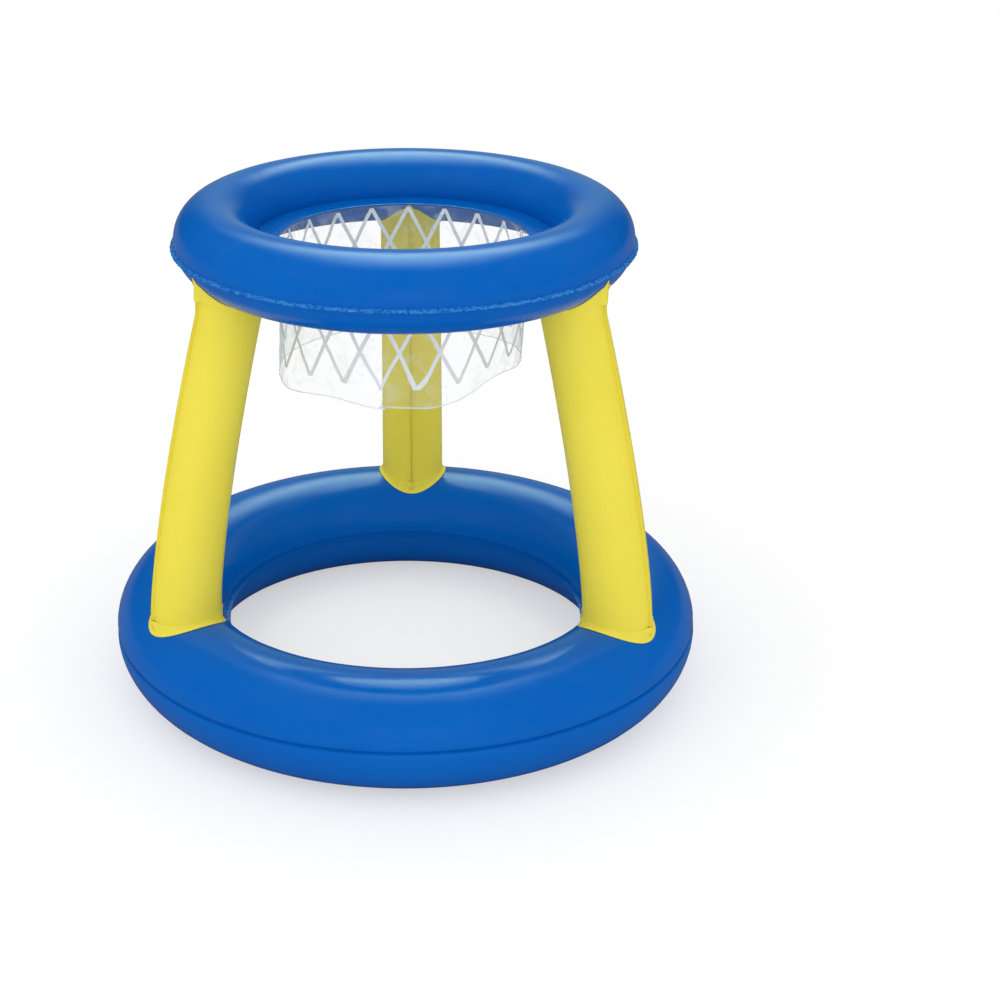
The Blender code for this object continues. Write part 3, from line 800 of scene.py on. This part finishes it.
class HOOP_OT_air_legs(Operator):
    """Make the two panels of each air leg"""

    bl_idname = "hoop.air_legs"
    bl_label = "Air legs"

    def execute(self, context):
        """Loft each panel and give it its wall."""
        shape = LegShape(context.scene)
        for place, azimuth in LEG_AZIMUTHS.items():
            for side, letter in ((1, "a"), (-1, "b")):
                node = f"{place}_leg_panel_{letter}"
                panel = leg_panel(shape, f"{node}.skin", azimuth, side, material_called(YELLOW))
                add_wall(panel, SKIN)
                finish_piece(panel, "hoop", [node])
        return {"FINISHED"}


def cuff(shape, name, azimuth, side, rise, dip, flare, material):
    """A cuff round a leg: a thin band that sweeps out into a rounded lip on the ring's skin."""
    crown = shape.base_crown if side > 0 else shape.top_keel
    skin = shape.base_skin if side > 0 else shape.top_skin
    turn = Matrix.Rotation(math.radians(azimuth), 4, "Z")
    low, middle, high = CUFF_CLIMB
    points = []
    for i in range(CUFF_AROUND):
        angle = 2 * math.pi * i / CUFF_AROUND
        edge = crown + side * (rise - GAP - dip * math.cos(angle) ** 2)
        centre = shape.centre(edge)
        inner = shape.radius(edge) + GAP / 2
        band = inner + CUFF_WALL
        # The band bulges over the leg's fins, and a head cuff carries the bulge up to its lip
        over_fin = math.exp(-(shape.radius(edge) * math.sin(angle) / FIN_FADE) ** 2)
        over = (shape.legs.seam + GAP) * over_fin
        carried = over * (0.8 if side < 0 else 0.0)
        lip = band + flare * (1 - 0.5 * carried / max(over, GAP)) + carried
        # Reach from the leg's middle and height over the ring's skin, out along the skin and back up the band
        for reach, above in (
            (inner, 0.0), (band, 0.0), (lip - CUFF_LIP_ROUND, 0.0), (lip, CUFF_LIP_ROUND),
            (lip, CUFF_LIP_HEIGHT - CUFF_LIP_ROUND), (lip - CUFF_LIP_ROUND, CUFF_LIP_HEIGHT),
            (band + flare * 0.5 + carried * 0.9, low), (band + flare * 0.2 + carried * 0.9, middle),
            (band + max(0.4 * over, carried), high),
        ):
            out, aside = centre + reach * math.cos(angle), reach * math.sin(angle)
            points.append(turn @ Vector((out, aside, skin(out, aside, GAP) + side * above)))
        for reach, height in (
            (band + over, edge - side * CUFF_BEVEL_BACK), (band + over - CUFF_BEVEL_IN, edge),
            (inner + over, edge),
        ):
            points.append(turn @ Vector((centre + reach * math.cos(angle), reach * math.sin(angle), height)))
    faces = net_faces(CUFF_AROUND, len(points) // CUFF_AROUND, rows_meet=True, columns_meet=True)
    item = mesh_object(name, points, faces, material)
    shell = bmesh.new()
    shell.from_mesh(item.data)
    bmesh.ops.recalc_face_normals(shell, faces=shell.faces)
    shell.to_mesh(item.data)
    shell.free()
    return item


class HOOP_OT_leg_cuffs(Operator):
    """Make the cuffs that weld the legs to the rings"""

    bl_idname = "hoop.leg_cuffs"
    bl_label = "Leg cuffs"

    def execute(self, context):
        """Make the lower and upper cuff of each leg."""
        shape = LegShape(context.scene)
        legs = shape.legs
        for place, azimuth in LEG_AZIMUTHS.items():
            for word, side, rise, dip, flare in (
                ("foot", 1, legs.foot_cuff_rise, legs.foot_cuff_dip, FOOT_CUFF_FLARE),
                ("head", -1, legs.head_cuff_rise, legs.head_cuff_dip, HEAD_CUFF_FLARE),
            ):
                node = f"{place}_leg_{word}_cuff"
                item = cuff(shape, f"{node}.band", azimuth, side, rise, dip, flare, material_called(YELLOW))
                finish_piece(item, "hoop", [node])
        return {"FINISHED"}


def swell(angle, heading, spread):
    """A soft hill round a heading: 1 there, and 0 from its spread on, both in degrees."""
    off = abs((math.degrees(angle) - heading + 180.0) % 360.0 - 180.0)
    return math.cos(math.pi / 2 * min(off / spread, 1.0)) ** 2


def sleeve_place(sizes, angle, share, radius, top):
    """A point of the hanging film: soft waves that grow towards the hem, and one deep fold at the front."""
    wave = sum(part * math.cos(around * angle + shift) for part, around, shift in HEM_WAVES)
    grown = share ** 1.5
    half = math.radians(FOLD_HALF)
    across = (angle - math.radians(FOLD_HEADING)) / half
    turned_by = 0.0
    pushed = 0.0
    if abs(across) < 1:
        turned_by = -half * 0.5 * math.sin(math.pi * across) * share ** 5
        pushed = -sizes.fold * FOLD_PEAK * across * (1 - across ** 2)
    crease = CREASE_DEPTH * math.cos(31 * angle + 9 * share) * math.sin(17 * share + 4 * math.cos(3 * angle))
    # Short puckers start under the weld and fade out over the upper quarter of the drop
    by_weld = (1 - math.exp(-share / PUCKER_GROWTH)) * math.exp(-share / PUCKER_FADE)
    pucker = sizes.pucker * math.cos(52 * angle + 5 * math.sin(7 * angle) + 30 * share) * by_weld
    right = swell(angle, *DRAWN_UP)
    left = swell(angle, *STANDING_OUT)
    reach = radius + grown * (sizes.wave * wave + pushed + sizes.flare * left - sizes.gather * right)
    reach += crease * min(4 * share, 1.0) + pucker
    heading = angle + grown * turned_by
    drop = share * (sizes.length + sizes.hem_wave * wave - sizes.hem_lift * share * right)
    return polar(reach, heading, top - drop)


def film_surface(rings, sizes):
    """The sleeve's middle surface with its flat pattern as a UV map; also its radius and flat length."""
    radius = rings.top_radius - rings.top_tube - rings.top_inner_seam - FILM_INSET
    top = rings.top_height - rings.top_seam_drop - GAP / 2 - SKIN - GAP - FILM / 2
    length = sizes.rim + sizes.length
    # Rows of the flat rim first, then of the hanging film: reach, share of the drop, and place on the pattern
    rows = [(radius + sizes.rim * (1 - i / RIM_ROWS), None, sizes.rim * i / RIM_ROWS / length)
            for i in range(RIM_ROWS)]
    rows += [(radius, i / SLEEVE_ROWS, (sizes.rim + sizes.length * i / SLEEVE_ROWS) / length)
             for i in range(SLEEVE_ROWS + 1)]
    points = []
    for reach, share, _ in rows:
        for i in range(SLEEVE_AROUND):
            angle = 2 * math.pi * i / SLEEVE_AROUND
            if share is None:
                points.append(polar(reach, angle, top))
            else:
                points.append(sleeve_place(sizes, angle, share, radius, top))
    faces = [(a, d, c, b) for a, b, c, d in net_faces(len(rows), SLEEVE_AROUND, columns_meet=True)]
    pattern = []
    for (_, _, upper), (_, _, lower) in zip(rows, rows[1:]):
        for i in range(SLEEVE_AROUND):
            left, right = i / SLEEVE_AROUND, (i + 1) / SLEEVE_AROUND
            pattern += [(left, upper), (left, lower), (right, lower), (right, upper)]
    film = mesh_object("net_sleeve.film", points, faces, material_called(CLEAR))
    layer = film.data.uv_layers.new(name="Pattern")
    layer.data.foreach_set("uv", np.array(pattern, dtype=np.float32).ravel())
    return film, radius, length


def lattice_tree():
    """Print slanting lines on the flat pattern of a film, and lay them on the film's surface."""
    tree, add, given = geometry_tree("Printed lattice", [
        ("Film", "Object", None), ("Columns", "Int", 20), ("Around", "Float", 0.76),
        ("Length", "Float", 0.14), ("Top", "Float", 0.01), ("Base", "Float", 0.12),
        ("Line Width", "Float", 0.004), ("Ink Height", "Float", 0.0003), ("Material", "Material", None),
    ])
    film = add("GeometryNodeObjectInfo", {"Object": given["Film"]}).outputs["Geometry"]
    pitch = add(MATH, {0: given["Around"], 1: given["Columns"]}, operation="DIVIDE")
    step = add(COMBINE, {"X": pitch})
    starts = add("GeometryNodeMeshLine", {"Count": given["Columns"], "Offset": step}, mode="OFFSET")
    drop = add(MATH, {0: given["Base"], 1: given["Top"]}, operation="SUBTRACT")
    line = add("GeometryNodeMeshGrid", {"Size X": given["Line Width"], "Size Y": drop,
                                        "Vertices X": LINE_FACETS[0], "Vertices Y": LINE_FACETS[1]})
    # One line leans to each side. Along a line y runs from minus to plus half the drop; down the film is plus
    apart = add(SEPARATE, {0: add(PLACE)})
    half = add(MATH, {0: drop, 1: 0.5}, operation="MULTIPLY")
    down = add(MATH, {0: apart.outputs["Y"], 1: half}, operation="ADD")
    low = add(MATH, {0: down, 1: given["Top"]}, operation="ADD")
    pair = add("GeometryNodeJoinGeometry")
    for lean in (-LINE_LEAN, LINE_LEAN):
        run = add(MATH, {0: pitch, 1: lean}, operation="MULTIPLY")
        slope = add(MATH, {0: run, 1: drop}, operation="DIVIDE")
        aside = add(MATH, {0: down, 1: slope}, operation="MULTIPLY")
        steep = add(MATH, {0: slope, 1: slope, 2: 1.0}, operation="MULTIPLY_ADD")
        stretch = add(MATH, {0: steep}, operation="SQRT")
        wide = add(MATH, {0: apart.outputs["X"], 1: stretch, 2: aside}, operation="MULTIPLY_ADD")
        flat = add(COMBINE, {"X": wide, "Y": low})
        slant = add(SET_PLACE, {"Geometry": line, "Position": flat})
        tree.links.new(slant.outputs[0], pair.inputs[0])
    copies = add("GeometryNodeInstanceOnPoints", {"Points": starts, "Instance": pair})
    real = add("GeometryNodeRealizeInstances", {"Geometry": copies})
    # Each point of the print finds its place on the film and the film's normal there, by the flat pattern
    spot = add(SEPARATE, {0: add(PLACE)})
    u = add(MATH, {0: spot.outputs["X"], 1: given["Around"]}, operation="DIVIDE")
    wrapped = add(MATH, {0: u}, operation="FRACT")
    v = add(MATH, {0: spot.outputs["Y"], 1: given["Length"]}, operation="DIVIDE")
    mark = add(COMBINE, {"X": wrapped, "Y": v})
    pattern = add(ATTRIBUTE, {"Name": "Pattern"}, data_type="FLOAT_VECTOR")
    on_film, out = [
        add("GeometryNodeSampleUVSurface", {"Mesh": film, "Value": add(kind), "UV Map": pattern,
                                            "Sample UV": mark}, data_type="FLOAT_VECTOR")
        for kind in (PLACE, "GeometryNodeInputNormal")]
    raised = add(VECTOR, {0: out, "Scale": given["Ink Height"]}, operation="SCALE")
    laid = add(VECTOR, {0: on_film, 1: raised}, operation="ADD")
    printed = add(SET_PLACE, {"Geometry": real, "Position": laid})
    dressed = add("GeometryNodeSetMaterial", {"Geometry": printed, "Material": given["Material"]})
    add("NodeGroupOutput", {"Geometry": dressed})
    return tree


class HOOP_OT_net_sleeve(Operator):
    """Make the clear net sleeve and the lattice printed on it"""

    bl_idname = "hoop.net_sleeve"
    bl_label = "Net sleeve"

    def execute(self, context):
        """Hang the film, print the lattice on its surface, then give both their thickness."""
        sizes = context.scene.hoop_sleeve
        film, radius, length = film_surface(context.scene.hoop_rings, sizes)
        ink = mesh_object("net_sleeve.lattice", [], [])
        run_tree(ink, lattice_tree(), {
            "Film": film, "Columns": sizes.columns, "Around": 2 * math.pi * radius, "Length": length,
            "Top": sizes.rim + sizes.lattice_top, "Base": sizes.rim + sizes.lattice_base,
            "Line Width": sizes.line_width, "Ink Height": FILM / 2 + INK_LIFT,
            "Material": material_called(INK),
        })
        add_wall(ink, INK_WALL, 1.0)
        finish_piece(ink, "hoop", [])
        add_wall(film, FILM, 0.0)
        finish_piece(film, "hoop", ["net_sleeve"])
        return {"FINISHED"}


def valve_place(prefix, sizes):
    """Frame of a valve from its joints: X to the strap's hinge and Z out along the stem."""
    hinge = JOINTS[f"{prefix}_stopper_hinge"]
    out = Vector(JOINTS[f"{prefix}_stem_pull"]["axis"]).normalized()
    along = Vector(hinge["axis"]).normalized().cross(out).normalized()
    place = Matrix((along, out.cross(along), out)).transposed().to_4x4()
    place.translation = (Vector(hinge["pos_m"]) - along * sizes.strap_reach
                         - out * (1.5 * GAP + sizes.collar_wall))
    return place


def rounded(outline, reach, steps=4):
    """An outline with curves for corners; reach is how far along each side a curve starts."""
    points = []
    for i, corner in enumerate(outline):
        corner = Vector(corner)
        before, after = Vector(outline[i - 1]), Vector(outline[(i + 1) % len(outline)])
        start = corner + (before - corner).normalized() * min(reach, (before - corner).length / 2)
        end = corner + (after - corner).normalized() * min(reach, (after - corner).length / 2)
        for step in range(steps + 1):
            t = step / steps
            points.append(tuple(start * (1 - t) ** 2 + corner * 2 * t * (1 - t) + end * t ** 2))
    return points


def slab(name, outline, low, high, material):
    """A flat moulded tab: an outline with a height and softened edges."""
    shape = bmesh.new()
    face = shape.faces.new([shape.verts.new((x, y, low)) for x, y in outline])
    grown = bmesh.ops.extrude_face_region(shape, geom=[face])
    lifted = [item for item in grown["geom"] if isinstance(item, bmesh.types.BMVert)]
    bmesh.ops.translate(shape, verts=lifted, vec=(0.0, 0.0, high - low))
    bmesh.ops.recalc_face_normals(shape, faces=shape.faces)
    flat = [edge for edge in shape.edges if abs(edge.verts[0].co.z - edge.verts[1].co.z) < TAB_BEVEL]
    bmesh.ops.bevel(shape, geom=flat, offset=TAB_BEVEL, segments=2, affect="EDGES", profile=0.5)
    item = mesh_object(name, [], [], material)
    shape.to_mesh(item.data)
    shape.free()
    return item


def moulded_piece(name, parts, place, body, node):
    """Join parts made in the valve's own frame into one piece, and set it in its place."""
    shape = bmesh.new()
    for part in parts:
        shape.from_mesh(part.data)
        bpy.data.objects.remove(part, do_unlink=True)
    shape.transform(place)
    item = mesh_object(name, [], [], material_called(MOULDED))
    shape.to_mesh(item.data)
    shape.free()
    finish_piece(item, body, [node], sharp=40.0)


class HOOP_OT_push_in_valves(Operator):
    """Make the valves' stems and stoppers, and the weld rings that show round them"""

    bl_idname = "hoop.push_in_valves"
    bl_label = "Push-in valves"

    def execute(self, context):
        """Make each stem, stopper and weld ring, and give the inner parts their material."""
        rings, sizes = context.scene.hoop_rings, context.scene.hoop_valves
        moulded = material_called(MOULDED)
        tubes = {"base": (rings.base_radius, rings.base_height, rings.base_tube),
                 "top": (rings.top_radius, rings.top_height, rings.top_tube)}
        for prefix, tube in tubes.items():
            place = valve_place(prefix, sizes)
            self.stem(prefix, place, sizes, moulded)
            self.stopper(prefix, place, sizes, moulded)
            self.weld_ring(prefix, place, sizes, *tube)
        for node, item in frame["nodes"].items():
            if node.endswith(("_valve_plate", "_valve_flap")):
                item.data.materials.clear()
                item.data.materials.append(moulded)
        return {"FINISHED"}

    def stem(self, prefix, place, sizes, moulded):
        """Bore, ribbed barrel, foot and collar with the lug of the strap."""
        foot_top = GAP - sizes.stem_length
        foot_base = foot_top - sizes.collar_wall
        collar_top = GAP + sizes.collar_wall
        root = sizes.stem_radius - RIB_DEPTH
        barrel = []
        for share in GRIP_SHARES:
            rib = foot_top + sizes.stem_length * share
            barrel += [(root, rib - RIB_HALF), (sizes.stem_radius, rib), (root, rib + RIB_HALF)]
        outline = [(sizes.stem_bore, foot_base), (sizes.foot_radius, foot_base),
                   (sizes.foot_radius, foot_top), (root, foot_top), *barrel, (sizes.stem_radius, GAP),
                   (sizes.collar_radius, GAP), (sizes.collar_radius, collar_top),
                   (sizes.stem_bore, collar_top)]
        profile = rounded(outline, STEM_ROUND)
        body = turned(f"{prefix}_stem.body", profile + profile[:1], TURNED_AROUND, moulded)
        half = sizes.strap_width / 2
        corners = [(sizes.stem_radius, -half), (sizes.strap_reach, -half),
                   (sizes.strap_reach, half), (sizes.stem_radius, half)]
        lug = slab(f"{prefix}_stem.lug", rounded(corners, LUG_ROUND), GAP + TAB_INSET,
                   collar_top - TAB_INSET, moulded)
        moulded_piece(f"{prefix}_valve_stem.moulding", [body, lug], place, f"{prefix}_stem",
                      f"{prefix}_valve_stem")

    def stopper(self, prefix, place, sizes, moulded):
        """Tapered plug with a holding bead, rounded head with a dished top, strap and grip tab."""
        under = 2 * GAP + sizes.collar_wall
        top = under + sizes.head_wall
        dish = top - DISH_DEPTH
        tip = under - sizes.plug_length
        bead = sizes.stem_bore - GAP
        start, middle, end = (tip + sizes.plug_length * share for share in BEAD_SHARES)
        outline = [(0.0, tip), (sizes.plug_tip, tip), (bead - SLIM_BEFORE, start), (bead, middle),
                   (bead - SLIM_AFTER, end), (bead - SLIM_AFTER, under), (sizes.head_radius, under),
                   (sizes.head_radius, top), (sizes.head_radius - DISH_START, top),
                   (sizes.head_radius - DISH_END, dish)]
        # The first corner lies on the axis and stays sharp, so its rounding is left out
        profile = [outline[0], *rounded(outline, STOPPER_ROUND)[5:], (0.0, dish)]
        body = turned(f"{prefix}_stopper.body", profile, TURNED_AROUND, moulded)
        half = sizes.strap_width / 2
        turns = [math.pi * i / GRIP_TIP_FACETS for i in range(GRIP_TIP_FACETS + 1)]
        grip = [(half - sizes.grip_reach - half * math.sin(turn), half * math.cos(turn)) for turn in turns]
        outline = [(sizes.strap_reach, -half), (sizes.strap_reach, half), *grip]
        strap = slab(f"{prefix}_stopper.strap", outline, under + TAB_INSET, under + sizes.strap_wall, moulded)
        moulded_piece(f"{prefix}_valve_stopper.moulding", [body, strap], place, f"{prefix}_stopper",
                      f"{prefix}_valve_stopper")

    def weld_ring(self, prefix, place, sizes, radius, height, tube):
        """The round weld that holds the plate: a low double ridge in the ring's own vinyl."""
        last = WELD_RING_ROWS - 1
        points = []
        for i in range(TURNED_AROUND):
            angle = 2 * math.pi * i / TURNED_AROUND
            for j in range(WELD_RING_ROWS):
                reach = sizes.weld_inset + (sizes.plate_radius - sizes.weld_inset) * (j / last)
                ridges = RIDGE_HEIGHT * math.sin(2 * math.pi * (j / last)) ** 2
                lift = ridges - (RIDGE_SINK if j in (0, last) else 0.0)
                spot = place @ polar(reach, angle, 0.0)
                middle = Vector((spot.x, spot.y, 0.0)).normalized() * radius + Vector((0.0, 0.0, height))
                points.append(middle + (spot - middle).normalized() * (tube + RIDGE_LIFT + lift))
        faces = net_faces(TURNED_AROUND, WELD_RING_ROWS, rows_meet=True)
        item = mesh_object(f"{prefix}_valve.weld_ring", points, faces, material_called(BLUE))
        add_wall(item, RIDGE_WALL)
        finish_piece(item, "hoop", [])


class HOOP_OT_studio(Operator):
    """Set the camera, the lamps and the white floor"""

    bl_idname = "hoop.studio"
    bl_label = "Studio"

    def execute(self, context):
        """Make the floor, the surround, the lamps and the camera."""
        scene = context.scene
        scene.view_settings.view_transform = "Standard"
        self.floor()
        scene.world = self.surround(scene.hoop_studio)
        self.lamps(scene.hoop_studio)
        scene.camera = self.camera(scene.hoop_studio)
        return {"FINISHED"}

    def floor(self):
        """A sheet of paper that shows white to the eye and keeps the soft shadow."""
        material = bpy.data.materials.new("white paper floor")
        material.use_nodes = True
        material.node_tree.nodes.clear()
        add = partial(add_node, material.node_tree)
        paper, shaded, dim = [add("ShaderNodeBsdfDiffuse", {"Color": (grey, grey, grey, 1)})
                              for grey in FLOOR_GREYS]
        glow = add("ShaderNodeEmission", {"Color": (1, 1, 1, 1), "Strength": FLOOR_GLOW})
        seen = add("ShaderNodeAddShader", {0: shaded, 1: glow})
        ray = add("ShaderNodeLightPath").outputs
        eye = add(MATH, {0: ray["Is Camera Ray"], 1: ray["Is Transmission Ray"]}, operation="MAXIMUM")
        white = add("ShaderNodeMixShader", {0: eye, 1: paper, 2: seen})
        # Glossy skins mirror the floor as if it fell away into the dark behind the object
        sheen = add("ShaderNodeMixShader", {0: ray["Is Glossy Ray"], 1: white, 2: dim})
        add("ShaderNodeOutputMaterial", {"Surface": sheen})
        points = [polar(FLOOR_REACH, 2 * math.pi * i / FLOOR_AROUND, 0.0) for i in range(FLOOR_AROUND)]
        floor = mesh_object("floor", points, [tuple(range(FLOOR_AROUND))], material)

    def surround(self, settings):
        """A world that is white to the eye and through film, and an even light on matt skins.

        Gloss mirrors a light tent that stands behind and over the object, dim at its foot and open in front.
        """
        world = bpy.data.worlds.new("white studio")
        world.use_nodes = True
        world.node_tree.nodes.clear()
        add = partial(add_node, world.node_tree)
        ray = add("ShaderNodeLightPath").outputs
        apart = add(SEPARATE, {0: add("ShaderNodeTexCoord").outputs["Generated"]}).outputs
        # Degrees up from the back horizon over the top towards the front
        over = add(MATH, {0: apart["Z"], 1: apart["Y"]}, operation="ARCTAN2")
        aside = add(MATH, {0: apart["X"]}, operation="ABSOLUTE")
        # The tent rises out of the dim, falls off towards the front, and fades out to its sides
        rising, falling, middle = [
            add(RANGE, {"Value": value, "From Min": start, "From Max": end, "To Min": first, "To Max": last},
                interpolation_type="SMOOTHSTEP")
            for value, (start, end), first, last in (
                (over, map(math.radians, TENT_FOOT), 0.04, 1.0),
                (over, map(math.radians, TENT_FRONT), 1.0, 0.0),
                (aside, TENT_SIDES, 1.0, 0.01),
            )]
        band = add(MATH, {0: rising, 1: falling}, operation="MULTIPLY")
        shaped = add(MATH, {0: band, 1: middle}, operation="MULTIPLY")
        tent = add(MATH, {0: shaped, 1: settings.tent}, operation="MULTIPLY")
        mirrored = add(MIX, {0: ray["Is Glossy Ray"], 2: settings.surround, 3: tent})
        eye = add(MATH, {0: ray["Is Camera Ray"], 1: ray["Is Transmission Ray"]}, operation="MAXIMUM")
        strength = add(MIX, {0: eye, 2: mirrored, 3: 1.0})
        cloth = add(MIX, {0: ray["Is Glossy Ray"], 6: (1, 1, 1, 1), 7: TENT_TINT}, data_type="RGBA")
        sky = add("ShaderNodeBackground", {"Color": cloth.outputs[2], "Strength": strength})
        add("ShaderNodeOutputWorld", {"Surface": sky})
        return world

    def lamps(self, settings):
        """A wide softbox on the left and a low fill in front, both turned to the object's middle."""
        for name, spot, size, power in (
            ("left softbox", (-1.3, -1.1, 2.0), (1.6, 1.6), settings.key_power),
            ("front fill", (0.25, -2.3, 0.7), (1.6, 0.9), settings.fill_power),
        ):
            lamp = bpy.data.lights.new(name, "AREA")
            lamp.shape = "RECTANGLE"
            lamp.size, lamp.size_y = size
            lamp.energy = power
            item = show(bpy.data.objects.new(name, lamp))
            item.location = spot
            item.rotation_euler = (Vector(LAMP_TARGET) - item.location).to_track_quat("-Z", "Y").to_euler()
            item.visible_glossy = False

    def camera(self, settings):
        """A camera at the photograph's view."""
        camera = bpy.data.cameras.new("camera")
        camera.lens = settings.lens
        camera.sensor_width = SENSOR_WIDTH
        camera.shift_x, camera.shift_y = CAMERA_SHIFT
        camera.clip_start = NEAR_CLIP
        item = show(bpy.data.objects.new("camera", camera))
        yaw, pitch, roll = map(math.radians, CAMERA_TURN)
        ahead = Vector((math.sin(yaw) * math.cos(pitch), math.cos(yaw) * math.cos(pitch), -math.sin(pitch)))
        right = Vector((math.cos(yaw), -math.sin(yaw), 0.0))
        up = right.cross(ahead)
        rolled_right = right * math.cos(roll) + up * math.sin(roll)
        rolled_up = up * math.cos(roll) - right * math.sin(roll)
        item.matrix_world = Matrix.Translation(CAMERA_PLACE) @ Matrix(
            (rolled_right, rolled_up, -ahead)).transposed().to_4x4()
        return item


OPERATORS = (HOOP_OT_air_rings, HOOP_OT_air_legs, HOOP_OT_leg_cuffs, HOOP_OT_net_sleeve,
             HOOP_OT_push_in_valves, HOOP_OT_studio)


class HOOP_PT_maker(Panel):
    """The hoop's pieces in the sidebar"""

    bl_label = "Floating basketball hoop"
    bl_space_type = "VIEW_3D"
    bl_region_type = "UI"
    bl_category = "Hoop"

    def draw(self, context):
        """List the operators."""
        for operator in OPERATORS:
            self.layout.operator(operator.bl_idname)


GROUPS = {"hoop_rings": RingSizes, "hoop_legs": LegSizes, "hoop_sleeve": SleeveSizes,
          "hoop_valves": ValveSizes, "hoop_finishes": Finishes, "hoop_studio": StudioSettings}


def register():
    """Register the classes and give the scene its settings."""
    for group in (*GROUPS.values(), *OPERATORS, HOOP_PT_maker):
        bpy.utils.register_class(group)
    for name, group in GROUPS.items():
        setattr(bpy.types.Scene, name, PointerProperty(type=group))


def unregister():
    """Take everything back out."""
    for name in GROUPS:
        delattr(bpy.types.Scene, name)
    for group in (HOOP_PT_maker, *OPERATORS[::-1], *GROUPS.values()):
        bpy.utils.unregister_class(group)


def main():
    """Make every piece in order."""
    register()
    bpy.ops.hoop.air_rings()
    bpy.ops.hoop.air_legs()
    bpy.ops.hoop.leg_cuffs()
    bpy.ops.hoop.net_sleeve()
    bpy.ops.hoop.push_in_valves()
    bpy.ops.hoop.studio()


if __name__ == "__main__":
    main()
